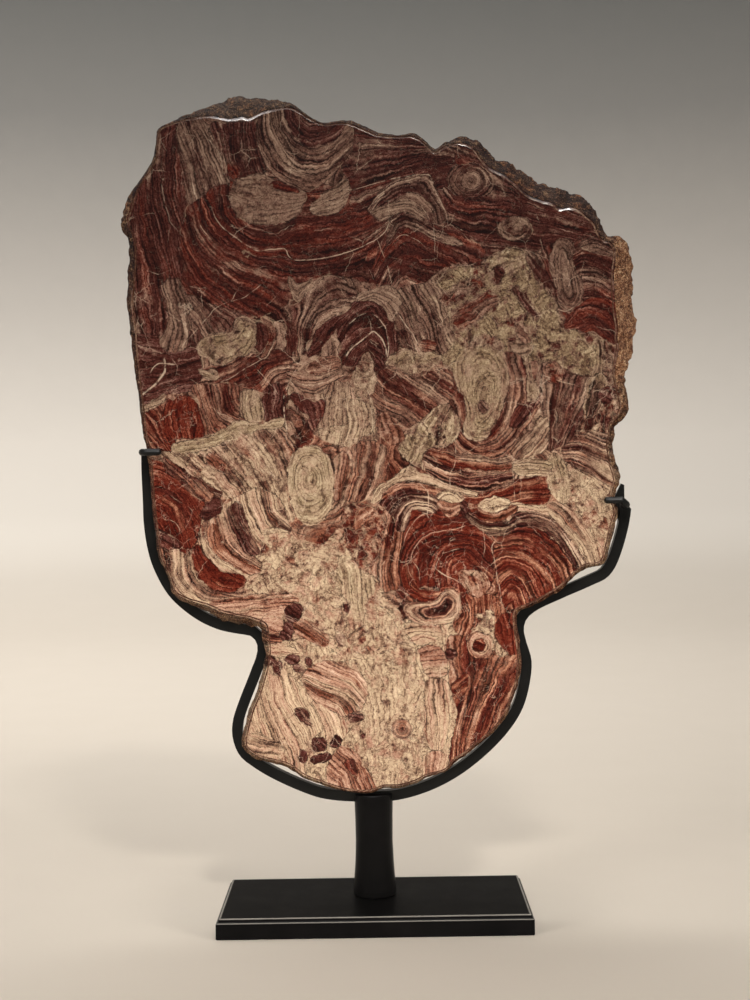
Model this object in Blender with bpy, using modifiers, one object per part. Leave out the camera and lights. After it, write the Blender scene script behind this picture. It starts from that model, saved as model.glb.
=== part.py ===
# A polished slab of stromatolite standing in a bent steel bracket, on a round post and a stepped base.
# Metres, +Z up. The polished face looks along -Y, with +X to its right.
# The origin is the centre of the base's underside.

import bpy
import bmesh
import numpy as np

MM = 0.001
# Pieces that touch keep this distance.
GAP = 0.3 * MM

# Driving dimensions of the stand.
BASE_LENGTH = 203 * MM
BASE_DEPTH = 96 * MM
BASE_SIDE_HEIGHT = 10.6 * MM
BASE_STEP_WIDTH = 2.4 * MM
BASE_STEP_HEIGHT = 2.4 * MM
BASE_HEIGHT = BASE_SIDE_HEIGHT + BASE_STEP_HEIGHT
BASE_EDGE_BEVEL = 0.6 * MM
POST_Y = 5 * MM
POST_TOP_Z = 81.2 * MM
POST_WAIST_RADIUS = 12.4 * MM
POST_TOP_RADIUS = 12.9 * MM
POST_FOOT_RADIUS = 14.4 * MM
POST_EDGE_RADIUS = 1.2 * MM
BAR_WIDTH = 7 * MM
BAR_BEVEL = 0.5 * MM
BAR_STATIONS = 164
BAR_END_SLANT = 6 * MM
ROD_DIAMETER = 4.8 * MM
ROD_BEND = 4 * MM
FIN_THICKNESS = 2.5 * MM
FIN_WIDTH = 11 * MM
FIN_TIP_WIDTH = 2.2 * MM
FIN_LEG_WIDTH = 3 * MM
FIN_LEG_HEIGHT = 6 * MM

# Driving dimensions of the slab.
SLAB_WIDTH = 342 * MM
SLAB_THICKNESS = 22 * MM
SLAB_FRONT_Y = -6 * MM
SLAB_BACK_Y = SLAB_FRONT_Y + SLAB_THICKNESS
SLAB_STATIONS = 280
# The rings are straight between stations, so they cut this much off a bend of the bar.
STATION_SAG = 0.15 * MM
RIM_CHIPS = 1.1 * MM

# The two outlines below are read by eye in the picture, in its pixels. On the slab's face one pixel is
# the slab's real width over its seen width, and on the bar, a little farther off, slightly more.
# The picture is turned by a small angle about its middle, and its horizon lies above the middle.
SLAB_SEEN_WIDTH = 515
PICTURE_MIDDLE = (375, 500)
PICTURE_TURN = np.radians(0.9)
HORIZON_RISE = 20
EYE_X = 4.3 * MM
EYE_Z = 291 * MM
FACE_PIXEL = SLAB_WIDTH / SLAB_SEEN_WIDTH
BAR_PIXEL = FACE_PIXEL * 1.006

# Silhouette of the slab, clockwise from the top left: across, down, and the width of the rim that is seen
# between the silhouette and the polished face.
SLAB_EDGE = [
    # top left, with the broad broken patch
    (155.5, 131, 3), (158, 126.5, 3), (172, 119.5, 3), (188, 112.8, 4), (204, 107, 13), (221, 103, 19),
    (235, 97.5, 24), (241, 96.2, 27), (250, 99, 25), (266, 99, 15), (281, 101.5, 5), (292, 103.5, 2.5),
    # top, thin rounded rim
    (303, 110, 2), (309, 114.7, 2), (325, 121, 4), (337, 119, 3), (349, 119, 5), (367, 126, 4.5),
    (380, 131.5, 4), (400, 132.7, 3), (413, 131.8, 3), (424, 137, 7), (434.5, 146, 5), (444, 140.5, 7),
    (460, 135.3, 6), (474, 138, 11), (484, 146, 13),
    # top right, weathered slope
    (496, 156, 15), (512, 162, 18), (522, 169, 18), (536, 180, 19), (548, 183.5, 21), (559, 186, 23),
    (568, 192.3, 22), (579, 194, 22), (588, 200, 17), (594, 209, 10), (600.5, 219, 5), (604, 228, 5),
    # right side, weathered rind
    (610, 234, 8), (619, 234.7, 13), (626, 240, 17), (631, 254, 21), (633.7, 278, 23), (635.2, 308, 24),
    (635.3, 330, 19), (633.5, 343, 17), (634, 351, 19), (630.5, 362, 18), (626.8, 375, 12),
    (628.5, 392, 12), (630, 408, 12), (624.5, 419.5, 8), (616.5, 426, 5), (615.2, 436, 5),
    (613.3, 443, 5), (616.7, 462, 7), (621.5, 481, 9), (617.5, 490, 5), (616, 499, 4), (619.8, 511, 5),
    (616, 526, 5), (611.8, 545, 5), (607, 561, 6), (602.5, 566.3, 5),
    # right shelf, neck and lower lobe
    (588, 568.7, 4), (577, 576, 4), (563, 589.5, 4), (548.5, 598.5, 4), (530, 608, 4), (519, 612.5, 4),
    (517.4, 624, 3), (520.3, 643, 3), (521.4, 660, 3), (519.3, 682, 3), (513, 700.5, 3),
    (508.7, 713.5, 3), (494, 733, 3), (477, 747, 3), (465, 757, 3), (456, 762.5, 3), (447, 772.5, 3),
    (428, 778, 3), (415, 784.5, 3), (400, 788.7, 3), (384, 789.5, 3), (371, 793.8, 3), (359, 794.6, 3),
    (338, 790, 3), (318, 783, 3), (303, 777, 3), (288, 766.5, 3), (273, 763, 4), (257, 759.5, 4),
    (244.5, 752, 5), (240.7, 746, 4), (242.7, 730, 4), (247, 713, 4), (256, 690, 4), (261, 672, 4),
    (264, 652, 5), (261.7, 637, 4), (262, 625.5, 5),
    # left shelf and left side
    (248, 623.3, 10), (232, 621.3, 9), (217, 616, 7), (203, 608, 5), (183, 601, 4), (171, 592.5, 4),
    (167.8, 581, 3), (157.5, 557, 3), (153.7, 532, 3), (150, 500, 3), (148, 472, 3), (146.4, 457, 3),
    (146, 449, 3), (142.5, 438, 3), (138, 405, 4), (132.8, 367, 4), (128, 328, 6), (125, 303, 6),
    (126, 282, 7), (127, 258, 7), (125, 239, 7), (119.7, 226.5, 9), (119.4, 218, 9), (125, 201, 8),
    (132, 187.5, 4), (144.5, 169, 4), (151, 159.5, 4), (153.5, 146, 3),
]

# Outer edge of the bar, from its left end round the lower lobe to its right end.
BAR_OUTER_EDGE = [
    (140.3, 450), (140.6, 470), (142, 500), (143, 524), (147, 550), (153, 569), (166, 593), (179, 607),
    (200, 622), (220, 630.5), (240, 634.5), (250.5, 636.5), (256, 643), (256.8, 652), (250, 672),
    (239, 700), (232.3, 721), (232, 738), (239, 756), (252, 767), (272, 779), (302, 792.5), (322, 799),
    (350, 802), (395, 801), (428, 792), (456, 778), (484, 757), (509, 731), (523, 708), (530, 682),
    (531.5, 660), (526, 641), (523.7, 629), (526.5, 619.5), (536, 611), (560, 599.5), (592, 585.5),
    (607, 578), (615, 568), (622, 551), (629, 525), (631.7, 506), (631.7, 497),
]

# Prongs. Each rod comes forward from the bar and turns over the slab's face. Each fin stands behind it.
LEFT_ROD = {"leg": (-150.2 * MM, 311.8 * MM), "tip": (-136.8 * MM, 311.8 * MM)}
RIGHT_ROD = {"leg": (171.2 * MM, 271.8 * MM), "tip": (155.8 * MM, 275.2 * MM)}
LEFT_FIN = {"outer_x": -150.4 * MM, "foot_z": 297 * MM, "tip_z": 321 * MM, "lean": 1}
RIGHT_FIN = {"outer_x": 173.6 * MM, "foot_z": 262 * MM, "tip_z": 286 * MM, "lean": -1}


def clear_scene():
    for item in list(bpy.data.objects):
        bpy.data.objects.remove(item, do_unlink=True)
    for group in list(bpy.data.collections):
        bpy.data.collections.remove(group)


def make_collection(name):
    group = bpy.data.collections.new(name)
    bpy.context.scene.collection.children.link(group)
    return group


def make_material(name, colour, roughness, metallic):
    material = bpy.data.materials.new(name)
    material.use_nodes = True
    shader = material.node_tree.nodes["Principled BSDF"]
    shader.inputs["Base Color"].default_value = (*colour, 1)
    shader.inputs["Roughness"].default_value = roughness
    shader.inputs["Metallic"].default_value = metallic
    return material


def add_object(name, data, group, material=None):
    item = bpy.data.objects.new(name, data)
    group.objects.link(item)
    if material is not None:
        data.materials.append(material)
    return item


def add_bevel(item, width):
    bevel = item.modifiers.new("Bevel", "BEVEL")
    bevel.width = width
    bevel.segments = 1
    bevel.limit_method = "ANGLE"
    bevel.angle_limit = np.radians(50)


def add_boolean(item, other, operation):
    boolean = item.modifiers.new("Boolean", "BOOLEAN")
    boolean.operation = operation
    boolean.object = other


def make_cutter(item):
    item.hide_render = True
    item.display_type = "WIRE"


def smooth_curve(points, count, closed):
    """A smooth curve through the points, as cubic pieces, read at evenly spaced stations."""
    rows = np.asarray(points, float)
    if closed:
        rows = np.vstack([rows[-1:], rows, rows[:2]])
    else:
        rows = np.vstack([2 * rows[0] - rows[1], rows, 2 * rows[-1] - rows[-2]])
    gaps = np.sqrt(np.hypot(*np.diff(rows[:, :2], axis=0).T))[:, None]
    slopes = np.diff(rows, axis=0) / gaps
    tangents = (slopes[:-1] * gaps[1:] + slopes[1:] * gaps[:-1]) / (gaps[:-1] + gaps[1:])
    step = np.linspace(0, 1, 12, endpoint=False)[:, None]
    pieces = []
    for index in range(1, len(rows) - 2):
        leave = tangents[index - 1] * gaps[index]
        arrive = tangents[index] * gaps[index]
        span = rows[index + 1] - rows[index]
        piece = rows[index] + leave * step + (3 * span - 2 * leave - arrive) * step**2
        pieces.append(piece + (leave + arrive - 2 * span) * step**3)
    dense = np.vstack(pieces + [rows[-2:-1]])
    along = np.concatenate([[0], np.cumsum(np.hypot(*np.diff(dense[:, :2], axis=0).T))])
    stations = np.linspace(0, along[-1], count, endpoint=not closed)
    return np.column_stack([np.interp(stations, along, column) for column in dense.T])


def picture_to_plane(points, pixel):
    """Picture pixels to X and Z on an upright plane where one pixel is the given length."""
    across = points[:, 0] - PICTURE_MIDDLE[0]
    down = points[:, 1] - PICTURE_MIDDLE[1]
    x = EYE_X + (across * np.cos(PICTURE_TURN) - down * np.sin(PICTURE_TURN)) * pixel
    fall = across * np.sin(PICTURE_TURN) + down * np.cos(PICTURE_TURN) + HORIZON_RISE
    return np.column_stack([x, EYE_Z - fall * pixel])


def right_of_walk(points, closed):
    """Unit normals to the right of the walk along the points."""
    if closed:
        step = np.roll(points, -1, axis=0) - np.roll(points, 1, axis=0)
    else:
        step = np.gradient(points, axis=0)
    step = step / np.linalg.norm(step, axis=1)[:, None]
    return np.column_stack([step[:, 1], -step[:, 0]])


def blur_ring(rows, reach):
    """Averages each station with its neighbours, by a bell curve that is reach stations wide."""
    shifts = np.arange(-3 * reach, 3 * reach + 1)
    weights = np.exp(-0.5 * (shifts / reach) ** 2)
    weights /= weights.sum()
    return sum(weight * np.roll(rows, shift, axis=0) for weight, shift in zip(weights, shifts))


def bar_centre_line():
    """The bar's centre line in X and Z, with unit vectors towards the slab, on the left of the walk."""
    outer = picture_to_plane(smooth_curve(BAR_OUTER_EDGE, BAR_STATIONS, closed=False), BAR_PIXEL)
    inward = -right_of_walk(outer, closed=False)
    return outer + inward * BAR_WIDTH / 2, inward


def rough(around, depth, shift):
    """Smooth noise round the slab and through its thickness, between about -1 and 1: a sum of sines."""
    turn = 2 * np.pi * around
    wave = np.sin(23 * turn + 2.1 * depth + shift) + 0.8 * np.sin(41 * turn - 3.7 * depth + 2 * shift)
    wave += 0.6 * np.sin(67 * turn + 5.3 * depth + 5 * shift) + 0.5 * np.sin(11 * turn + 7 * depth)
    return wave / 2.9


def clear_of_bar(ring):
    """Moves the ring's points that come too near the bar's centre line towards the slab's side."""
    centre, inward = bar_centre_line()
    clearance = BAR_WIDTH / 2 + GAP + STATION_SAG
    apart = np.linalg.norm(ring[:, None] - centre[None], axis=2)
    nearest = apart.argmin(axis=1)
    beside = apart.min(axis=1) < 2 * clearance
    offset = ((ring - centre[nearest]) * inward[nearest]).sum(axis=1)
    push = np.where(beside, np.clip(clearance - offset, 0, None), 0)
    return ring + inward[nearest] * push[:, None]


def build_slab(group):
    """Rings round the slab at set depths, the first on the polished face and the last on the back.

    The rim slopes back from the polished face to the silhouette, is chipped, and closes in at the back.
    """
    material = make_material("banded_stone", (0.30, 0.19, 0.14), 0.35, 0)
    edge = smooth_curve(SLAB_EDGE, SLAB_STATIONS, closed=True)
    outline = picture_to_plane(edge, FACE_PIXEL)
    rim = blur_ring(edge[:, 2], 2) * FACE_PIXEL
    inward = right_of_walk(blur_ring(outline, 3), closed=True)
    around = np.arange(SLAB_STATIONS) / SLAB_STATIONS
    bar_front = POST_Y - BAR_WIDTH / 2 - GAP - SLAB_FRONT_Y
    bar_back = POST_Y + BAR_WIDTH / 2 + GAP - SLAB_FRONT_Y
    depths = [0, 1 * MM, 3 * MM, bar_front - GAP, bar_front, (bar_front + bar_back) / 2, bar_back,
              bar_back + GAP, SLAB_THICKNESS - 3 * MM, SLAB_THICKNESS]
    slope_depth = 1.2 * MM + 0.55 * rim
    points = []
    for depth in depths:
        slope_share = np.clip(depth / slope_depth, 0, 1)
        back_share = max(0, depth / SLAB_THICKNESS - 0.45) / 0.55
        chipped = np.clip(rim / (8 * MM), 0.12, 1) * slope_share + 0.5 * back_share
        inset = rim * (1 - slope_share) ** 1.3 + 2.4 * MM * back_share**2
        inset = inset + RIM_CHIPS * chipped * (1 + rough(around, depth / (6 * MM), 1.7))
        ring = outline + inward * inset[:, None]
        if bar_front <= depth <= bar_back:
            ring = clear_of_bar(ring)
        points.extend((x, SLAB_FRONT_Y + depth, z) for x, z in ring)
    solid = bmesh.new()
    corners = [solid.verts.new(point) for point in points]
    rings = [corners[first:first + SLAB_STATIONS] for first in range(0, len(corners), SLAB_STATIONS)]
    for front, back in zip(rings[:-1], rings[1:]):
        for index in range(SLAB_STATIONS):
            solid.faces.new((front[index - 1], front[index], back[index], back[index - 1]))
    solid.faces.new(rings[0])
    solid.faces.new(rings[-1])
    bmesh.ops.recalc_face_normals(solid, faces=solid.faces)
    mesh = bpy.data.meshes.new("slab")
    solid.to_mesh(mesh)
    solid.free()
    add_object("slab", mesh, group, material)


def extrude_outline(name, loop, thickness, middle_y, group, material=None):
    """A flat outline in X and Z, as a filled 2D curve with an extrude, made a mesh."""
    curve = bpy.data.curves.new(name, "CURVE")
    curve.dimensions = "2D"
    curve.fill_mode = "BOTH"
    curve.extrude = thickness / 2
    spline = curve.splines.new("POLY")
    spline.points.add(len(loop) - 1)
    spline.use_cyclic_u = True
    for point, (x, z) in zip(spline.points, loop):
        point.co = (x, z, 0, 1)
    drawn = add_object(name + "_drawn", curve, group)
    drawn.rotation_euler = (np.pi / 2, 0, 0)
    drawn.location = (0, middle_y, 0)
    bpy.context.view_layer.update()
    graph = bpy.context.evaluated_depsgraph_get()
    mesh = bpy.data.meshes.new_from_object(drawn.evaluated_get(graph))
    solid = bmesh.new()
    solid.from_mesh(mesh)
    bmesh.ops.remove_doubles(solid, verts=solid.verts, dist=0.01 * MM)
    bmesh.ops.recalc_face_normals(solid, faces=solid.faces)
    solid.to_mesh(mesh)
    solid.free()
    made = add_object(name, mesh, group, material)
    made.matrix_world = drawn.matrix_world
    bpy.data.objects.remove(drawn, do_unlink=True)
    return made


def bar_loop(grow):
    """The bar's flat outline, wider by grow on each side. The right end is cut slanting."""
    centre, inward = bar_centre_line()
    half = BAR_WIDTH / 2 + grow
    outer = centre - inward * half
    inner = centre + inward * half
    station = np.linalg.norm(np.diff(centre, axis=0), axis=1).mean()
    outer = outer[:BAR_STATIONS - round(BAR_END_SLANT / station)]
    return np.vstack([outer, inner[::-1]])


def build_bracket(group, black):
    bracket = extrude_outline("bracket", bar_loop(0), BAR_WIDTH, POST_Y, group, black)
    add_bevel(bracket, BAR_BEVEL)


def build_rod(name, rod, group, black):
    """A rod that leaves the bar's front, turns through a right angle and lies over the slab's face."""
    (leg_x, leg_z), (tip_x, tip_z) = rod["leg"], rod["tip"]
    radius = ROD_DIAMETER / 2
    side = np.sign(tip_x - leg_x)
    lying_y = SLAB_FRONT_Y - GAP - radius
    bar_front_y = POST_Y - BAR_WIDTH / 2 - GAP
    turn = np.linspace(0, np.pi / 2, 7)
    bend_x = leg_x + side * ROD_BEND * (1 - np.cos(turn))
    bend_y = lying_y + ROD_BEND * (1 - np.sin(turn))
    bend_z = leg_z + (tip_z - leg_z) * (1 - np.cos(turn))
    path = [(leg_x, bar_front_y, leg_z, 1)]
    path += [(x, y, z, 1) for x, y, z in zip(bend_x, bend_y, bend_z)]
    # The tip is half a ball, by points whose radius shrinks.
    for angle in np.radians([0, 30, 55, 75]):
        back = radius * (1 - np.sin(angle))
        path.append((tip_x - side * back, lying_y, tip_z, np.cos(angle)))
    curve = bpy.data.curves.new(name, "CURVE")
    curve.dimensions = "3D"
    curve.bevel_depth = radius
    curve.bevel_resolution = 3
    curve.use_fill_caps = True
    spline = curve.splines.new("POLY")
    spline.points.add(len(path) - 1)
    for point, (x, y, z, share) in zip(spline.points, path):
        point.co = (x, y, z, 1)
        point.radius = share
    add_object(name, curve, group, black)


def build_fin(name, fin, group, cutters, black):
    """A pointed strip behind the slab, upright on its outer side, on a leg from the bar's back."""
    outer, foot, tip, lean = fin["outer_x"], fin["foot_z"], fin["tip_z"], fin["lean"]
    loop = [
        (outer, foot), (outer, tip - 1 * MM), (outer + lean * FIN_TIP_WIDTH, tip),
        (outer + lean * FIN_WIDTH, foot + FIN_LEG_HEIGHT), (outer + lean * FIN_WIDTH, foot),
    ]
    middle_y = SLAB_BACK_Y + GAP + FIN_THICKNESS / 2
    strip = extrude_outline(name, loop, FIN_THICKNESS, middle_y, group, black)
    bar_back_y = POST_Y + BAR_WIDTH / 2 + GAP
    leg_depth = middle_y - bar_back_y
    bpy.ops.mesh.primitive_cube_add(size=1)
    leg = bpy.context.object
    leg.name = name + "_leg"
    for group_used in list(leg.users_collection):
        group_used.objects.unlink(leg)
    cutters.objects.link(leg)
    leg.scale = (FIN_LEG_WIDTH, leg_depth, FIN_LEG_HEIGHT)
    leg.location = (outer + lean * FIN_LEG_WIDTH / 2, bar_back_y + leg_depth / 2, foot + FIN_LEG_HEIGHT / 2)
    make_cutter(leg)
    add_boolean(strip, leg, "UNION")


def build_post(group, cutters, black):
    """A turned post, flared at the foot and slightly at the top, with a slot that the bar lies in."""
    foot_z = BASE_HEIGHT + GAP
    round_off = POST_EDGE_RADIUS
    profile = [
        (0, POST_TOP_Z), (POST_TOP_RADIUS - 0.5 * MM, POST_TOP_Z), (POST_TOP_RADIUS, POST_TOP_Z - 0.5 * MM),
        (POST_TOP_RADIUS, POST_TOP_Z - 4 * MM), (POST_WAIST_RADIUS + 0.2 * MM, POST_TOP_Z - 16 * MM),
        (POST_WAIST_RADIUS, POST_TOP_Z - 32 * MM), (POST_WAIST_RADIUS + 0.5 * MM, foot_z + 22 * MM),
        (POST_WAIST_RADIUS + 1.2 * MM, foot_z + 12 * MM), (POST_FOOT_RADIUS, foot_z + 4 * MM),
        (POST_FOOT_RADIUS, foot_z + round_off), (POST_FOOT_RADIUS - 0.3 * round_off, foot_z + 0.3 * round_off),
        (POST_FOOT_RADIUS - round_off, foot_z), (0, foot_z),
    ]
    mesh = bpy.data.meshes.new("post")
    mesh.from_pydata([(r, 0, z) for r, z in profile], [(i, i + 1) for i in range(len(profile) - 1)], [])
    post = add_object("post", mesh, group, black)
    post.location = (0, POST_Y, 0)
    screw = post.modifiers.new("Screw", "SCREW")
    screw.steps = 48
    screw.render_steps = 48
    screw.use_merge_vertices = True
    screw.merge_threshold = 0.01 * MM
    slot = extrude_outline("post_slot", bar_loop(GAP), BAR_WIDTH + 2 * GAP, POST_Y, cutters)
    make_cutter(slot)
    add_boolean(post, slot, "DIFFERENCE")


def build_base(group, black):
    """A flat block whose top face is stepped in all round."""
    solid = bmesh.new()
    bmesh.ops.create_cube(solid, size=1)
    for vert in solid.verts:
        vert.co.x *= BASE_LENGTH
        vert.co.y *= BASE_DEPTH
        vert.co.z = (vert.co.z + 0.5) * BASE_SIDE_HEIGHT
    top = max(solid.faces, key=lambda face: face.calc_center_median().z)
    bmesh.ops.inset_region(solid, faces=[top], thickness=BASE_STEP_WIDTH)
    raised = bmesh.ops.extrude_face_region(solid, geom=[top])
    for item in raised["geom"]:
        if isinstance(item, bmesh.types.BMVert):
            item.co.z += BASE_STEP_HEIGHT
    bmesh.ops.delete(solid, geom=[top], context="FACES_ONLY")
    bmesh.ops.recalc_face_normals(solid, faces=solid.faces)
    mesh = bpy.data.meshes.new("base")
    solid.to_mesh(mesh)
    solid.free()
    base = add_object("base", mesh, group, black)
    add_bevel(base, BASE_EDGE_BEVEL)


def build():
    clear_scene()
    group = make_collection("stromatolite_on_stand")
    cutters = make_collection("cutters")
    steel = make_material("black_painted_steel", (0.012, 0.012, 0.013), 0.42, 0)
    wood = make_material("black_painted_wood", (0.010, 0.010, 0.011), 0.38, 0)
    build_slab(group)
    build_bracket(group, steel)
    build_rod("front_prong_left", LEFT_ROD, group, steel)
    build_rod("front_prong_right", RIGHT_ROD, group, steel)
    build_fin("back_prong_left", LEFT_FIN, group, cutters, steel)
    build_fin("back_prong_right", RIGHT_FIN, group, cutters, steel)
    build_post(group, cutters, steel)
    build_base(group, wood)


build()
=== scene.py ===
from types import SimpleNamespace
import bpy
import numpy as np
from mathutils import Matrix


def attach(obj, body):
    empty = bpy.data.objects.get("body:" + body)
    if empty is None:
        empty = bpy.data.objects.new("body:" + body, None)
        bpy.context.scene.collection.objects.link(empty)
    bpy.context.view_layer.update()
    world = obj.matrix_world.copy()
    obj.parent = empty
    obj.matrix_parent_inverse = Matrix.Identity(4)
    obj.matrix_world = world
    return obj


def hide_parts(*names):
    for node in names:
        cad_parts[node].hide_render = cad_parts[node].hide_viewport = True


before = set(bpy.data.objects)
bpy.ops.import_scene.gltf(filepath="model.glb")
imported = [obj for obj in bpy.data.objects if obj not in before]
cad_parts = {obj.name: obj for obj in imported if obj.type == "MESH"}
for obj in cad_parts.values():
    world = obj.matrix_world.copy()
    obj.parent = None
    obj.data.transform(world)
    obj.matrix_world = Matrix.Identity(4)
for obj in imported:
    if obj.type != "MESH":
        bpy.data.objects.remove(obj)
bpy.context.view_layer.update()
print("frame loaded")

# How the picture was taken: lengths in pixels, except that the eye is a place in metres, and a pixel's own
# length in metres on the slab's face and on the bar.
picture = {
    "tall": 1000,
    "middle": (375, 500),
    "focal": 1450,
    "turn": np.radians(0.9),
    "horizonRise": 20,
    "eye": (0.0043, -0.969, 0.291),
    "facePixel": 0.342 / 515,
    "barPixel": 0.342 / 515 * 1.006,
}

# The stone, in metres, with its outline in pixels.
slab = {
    "faceY": -0.006,
    "thickness": 0.022,
    "middle": (385, 560),       # every outline point is seen from here, in pixels
    "half": 132,                # cells from the middle of the face to its edge
    "backHalf": 33,             # the same on the back, a whole share of the one above
    "rings": 8,                 # on the slope of the rim, and as many on its side
    "slope": (0.0012, 0.55),    # depth of the slope: at least, and for each metre of the rim's width
    "chips": (0.0011, 0.006),   # bites out of the rim: how deep, and how far apart through the slab
    "rugged": 0.0019,           # lumps on the rim, in three sizes
    "lumps": ((0.7, 0.0045), (0.45, 0.0021), (0.25, 0.0011)),
    "backRound": 0.0024,        # how far the rim draws in towards the back
    "bevel": (0.0011, 0.0006),  # the rounded edge of the polish: how wide and how deep
    "nibble": 0.0005,           # and how far it wanders
    "nibbles": ((0.35, 0.006), (0.25, 0.0022)),
    "barY": (0.0012, 0.0088),   # where the bar passes under the rim
    # across, down, and the width of the rim between the silhouette and the polished face
    "edge": """
        155.5,131,3 158,126.5,3 172,119.5,3 188,112,4 204,104.5,14 221,100,23 235,94.2,32 241,92.6,35
        250,95.5,32 266,96,20 281,99.5,7 292,102,3.5 303,110,2 309,114.7,2 325,121,4 337,119,3 349,119,5
        367,126,4.5 380,131.5,4 400,132.7,3 413,131.8,3 424,137,7 434.5,146,5 444,140.5,7 460,135.3,6
        474,138,11 484,146,13 496,156,15 512,162,18 522,169,18 536,180,19 548,183.5,21 559,186,23
        568,192.3,22 579,194,22 588,200,17 594,209,10 600.5,219,5 604,228,5 610,234,8 619,234.7,13
        626,240,17 631,254,21 633.7,278,23 635.2,308,24 635.3,330,19 633.5,343,17 634,351,19 630.5,362,18
        626.8,375,12 628.5,392,12 630,408,12 624.5,419.5,8 616.5,426,5 615.2,436,5 613.3,443,5 616.7,462,7
        621.5,481,9 617.5,490,5 616,499,4 619.8,511,5 616,526,5 611.8,545,5 607,561,6 602.5,566.3,5
        588,568.7,4 577,576,4 563,589.5,4 548.5,598.5,4 530,608,4 519,612.5,4 517.4,624,3 520.3,643,3
        521.4,660,3 519.3,682,3 513,700.5,3 508.7,713.5,3 494,733,3 477,747,3 465,757,3 456,762.5,3
        447,772.5,3 428,778,3 415,784.5,3 400,788.7,3 384,789.5,3 371,793.8,3 359,794.6,3 338,791,3
        318,785,4 303,779.5,4 288,769.5,4 273,765,5 257,761,5 244.5,752,5 240.7,746,4 242.7,730,4 247,713,4
        256,690,4 261,672,4 264,652,5 261.3,638,4 259.3,630.3,7 248,627,12 232,624.5,11 217,619.3,9
        203,611.5,7 183,603,5 171,594,4 167.8,581,3 157.5,557,3 153.7,532,3 150,500,3 148,472,3 146.4,457,3
        146,449,3 142.5,438,3 138,405,4 132.8,367,4 128,328,6 125,303,6 126,282,7 127,258,7 125,239,7
        119.7,226.5,9 119.4,218,9 125,201,8 132,187.5,4 144.5,169,4 151,159.5,4 153.5,146,3""",
}

# The stand's bar, in metres, with its outer edge in pixels. The rim keeps clear of it.
bar = {
    "width": 0.007,
    "gap": 0.00045,
    "stations": 164,
    # outer edge, from the left end round the lower lobe to the right end
    "outerEdge": """
        140.3,450 140.6,470 142,500 143,524 147,550 153,569 166,593 179,607 200,622 220,630.5 240,634.5
        250.5,636.5 256,643 256.8,652 250,672 239,700 232.3,721 232,738 239,756 252,767 272,779 302,792.5
        322,799 350,802 395,801 428,792 456,778 484,757 509,731 523,708 530,682 531.5,660 526,641 523.7,629
        526.5,619.5 536,611 560,599.5 592,585.5 607,578 615,568 622,551 629,525 631.7,506 631.7,497""",
}


# Points that are written as numbers with commas, and a space between two points.
def readPoints(text):
    return np.array([point.split(",") for point in text.split()], float)


# A smooth curve through the points, as cubic pieces, read at evenly spaced stations.
def smoothCurve(points, count, closed):
    if closed:
        rows = np.vstack([points[-1:], points, points[:2]])
    else:
        rows = np.vstack([2 * points[0] - points[1], points, 2 * points[-1] - points[-2]])
    gaps = np.sqrt(np.hypot(*np.diff(rows[:, :2], axis=0).T))[:, None]
    slopes = np.diff(rows, axis=0) / gaps
    tangents = (slopes[:-1] * gaps[1:] + slopes[1:] * gaps[:-1]) / (gaps[:-1] + gaps[1:])
    step = np.linspace(0, 1, 12, endpoint=False)[None, :, None]
    leave = (tangents[:-1] * gaps[1:-1])[:, None]
    arrive = (tangents[1:] * gaps[1:-1])[:, None]
    span = np.diff(rows, axis=0)[1:-1][:, None]
    pieces = rows[1:-2][:, None] + leave * step + (3 * span - 2 * leave - arrive) * step**2
    pieces = pieces + (leave + arrive - 2 * span) * step**3
    dense = np.vstack([pieces.reshape(-1, rows.shape[1]), rows[-2:-1]])
    along = np.concatenate([[0], np.cumsum(np.hypot(*np.diff(dense[:, :2], axis=0).T))])
    stations = np.linspace(0, along[-1], count, endpoint=not closed)
    return np.column_stack([np.interp(stations, along, column) for column in dense.T])


# Picture pixels to X and Z on an upright plane where one pixel is the given length.
def toPlane(points, pixel=picture["facePixel"]):
    points = np.asarray(points, float)
    turn = picture["turn"]
    across = points[:, 0] - picture["middle"][0]
    down = points[:, 1] - picture["middle"][1]
    x = picture["eye"][0] + (across * np.cos(turn) - down * np.sin(turn)) * pixel
    fall = across * np.sin(turn) + down * np.cos(turn) + picture["horizonRise"]
    return np.column_stack([x, picture["eye"][2] - fall * pixel])


# Unit normals to the right of the walk along the points.
def rightOfWalk(points, closed):
    step = np.roll(points, -1, axis=0) - np.roll(points, 1, axis=0) if closed else np.gradient(points, axis=0)
    step = step / np.linalg.norm(step, axis=1)[:, None]
    return np.column_stack([step[:, 1], -step[:, 0]])


# Each station's average with its neighbours, by a bell curve that is reach stations wide.
def blurRing(rows, reach):
    shifts = np.arange(-3 * reach, 3 * reach + 1)
    weights = np.exp(-0.5 * (shifts / reach) ** 2)
    return sum(w * np.roll(rows, s, axis=0) for w, s in zip(weights / weights.sum(), shifts))


# Rough waves round the slab and through its thickness: a sum of sines between about -1 and 1.
def waves(around, depth, shift):
    turn = 2 * np.pi * around
    wave = np.sin(23 * turn + 2.1 * depth + shift) + 0.8 * np.sin(41 * turn - 3.7 * depth + 2 * shift)
    wave += 0.6 * np.sin(67 * turn + 5.3 * depth + 5 * shift) + 0.5 * np.sin(11 * turn + 7 * depth)
    return wave / 2.9


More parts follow.
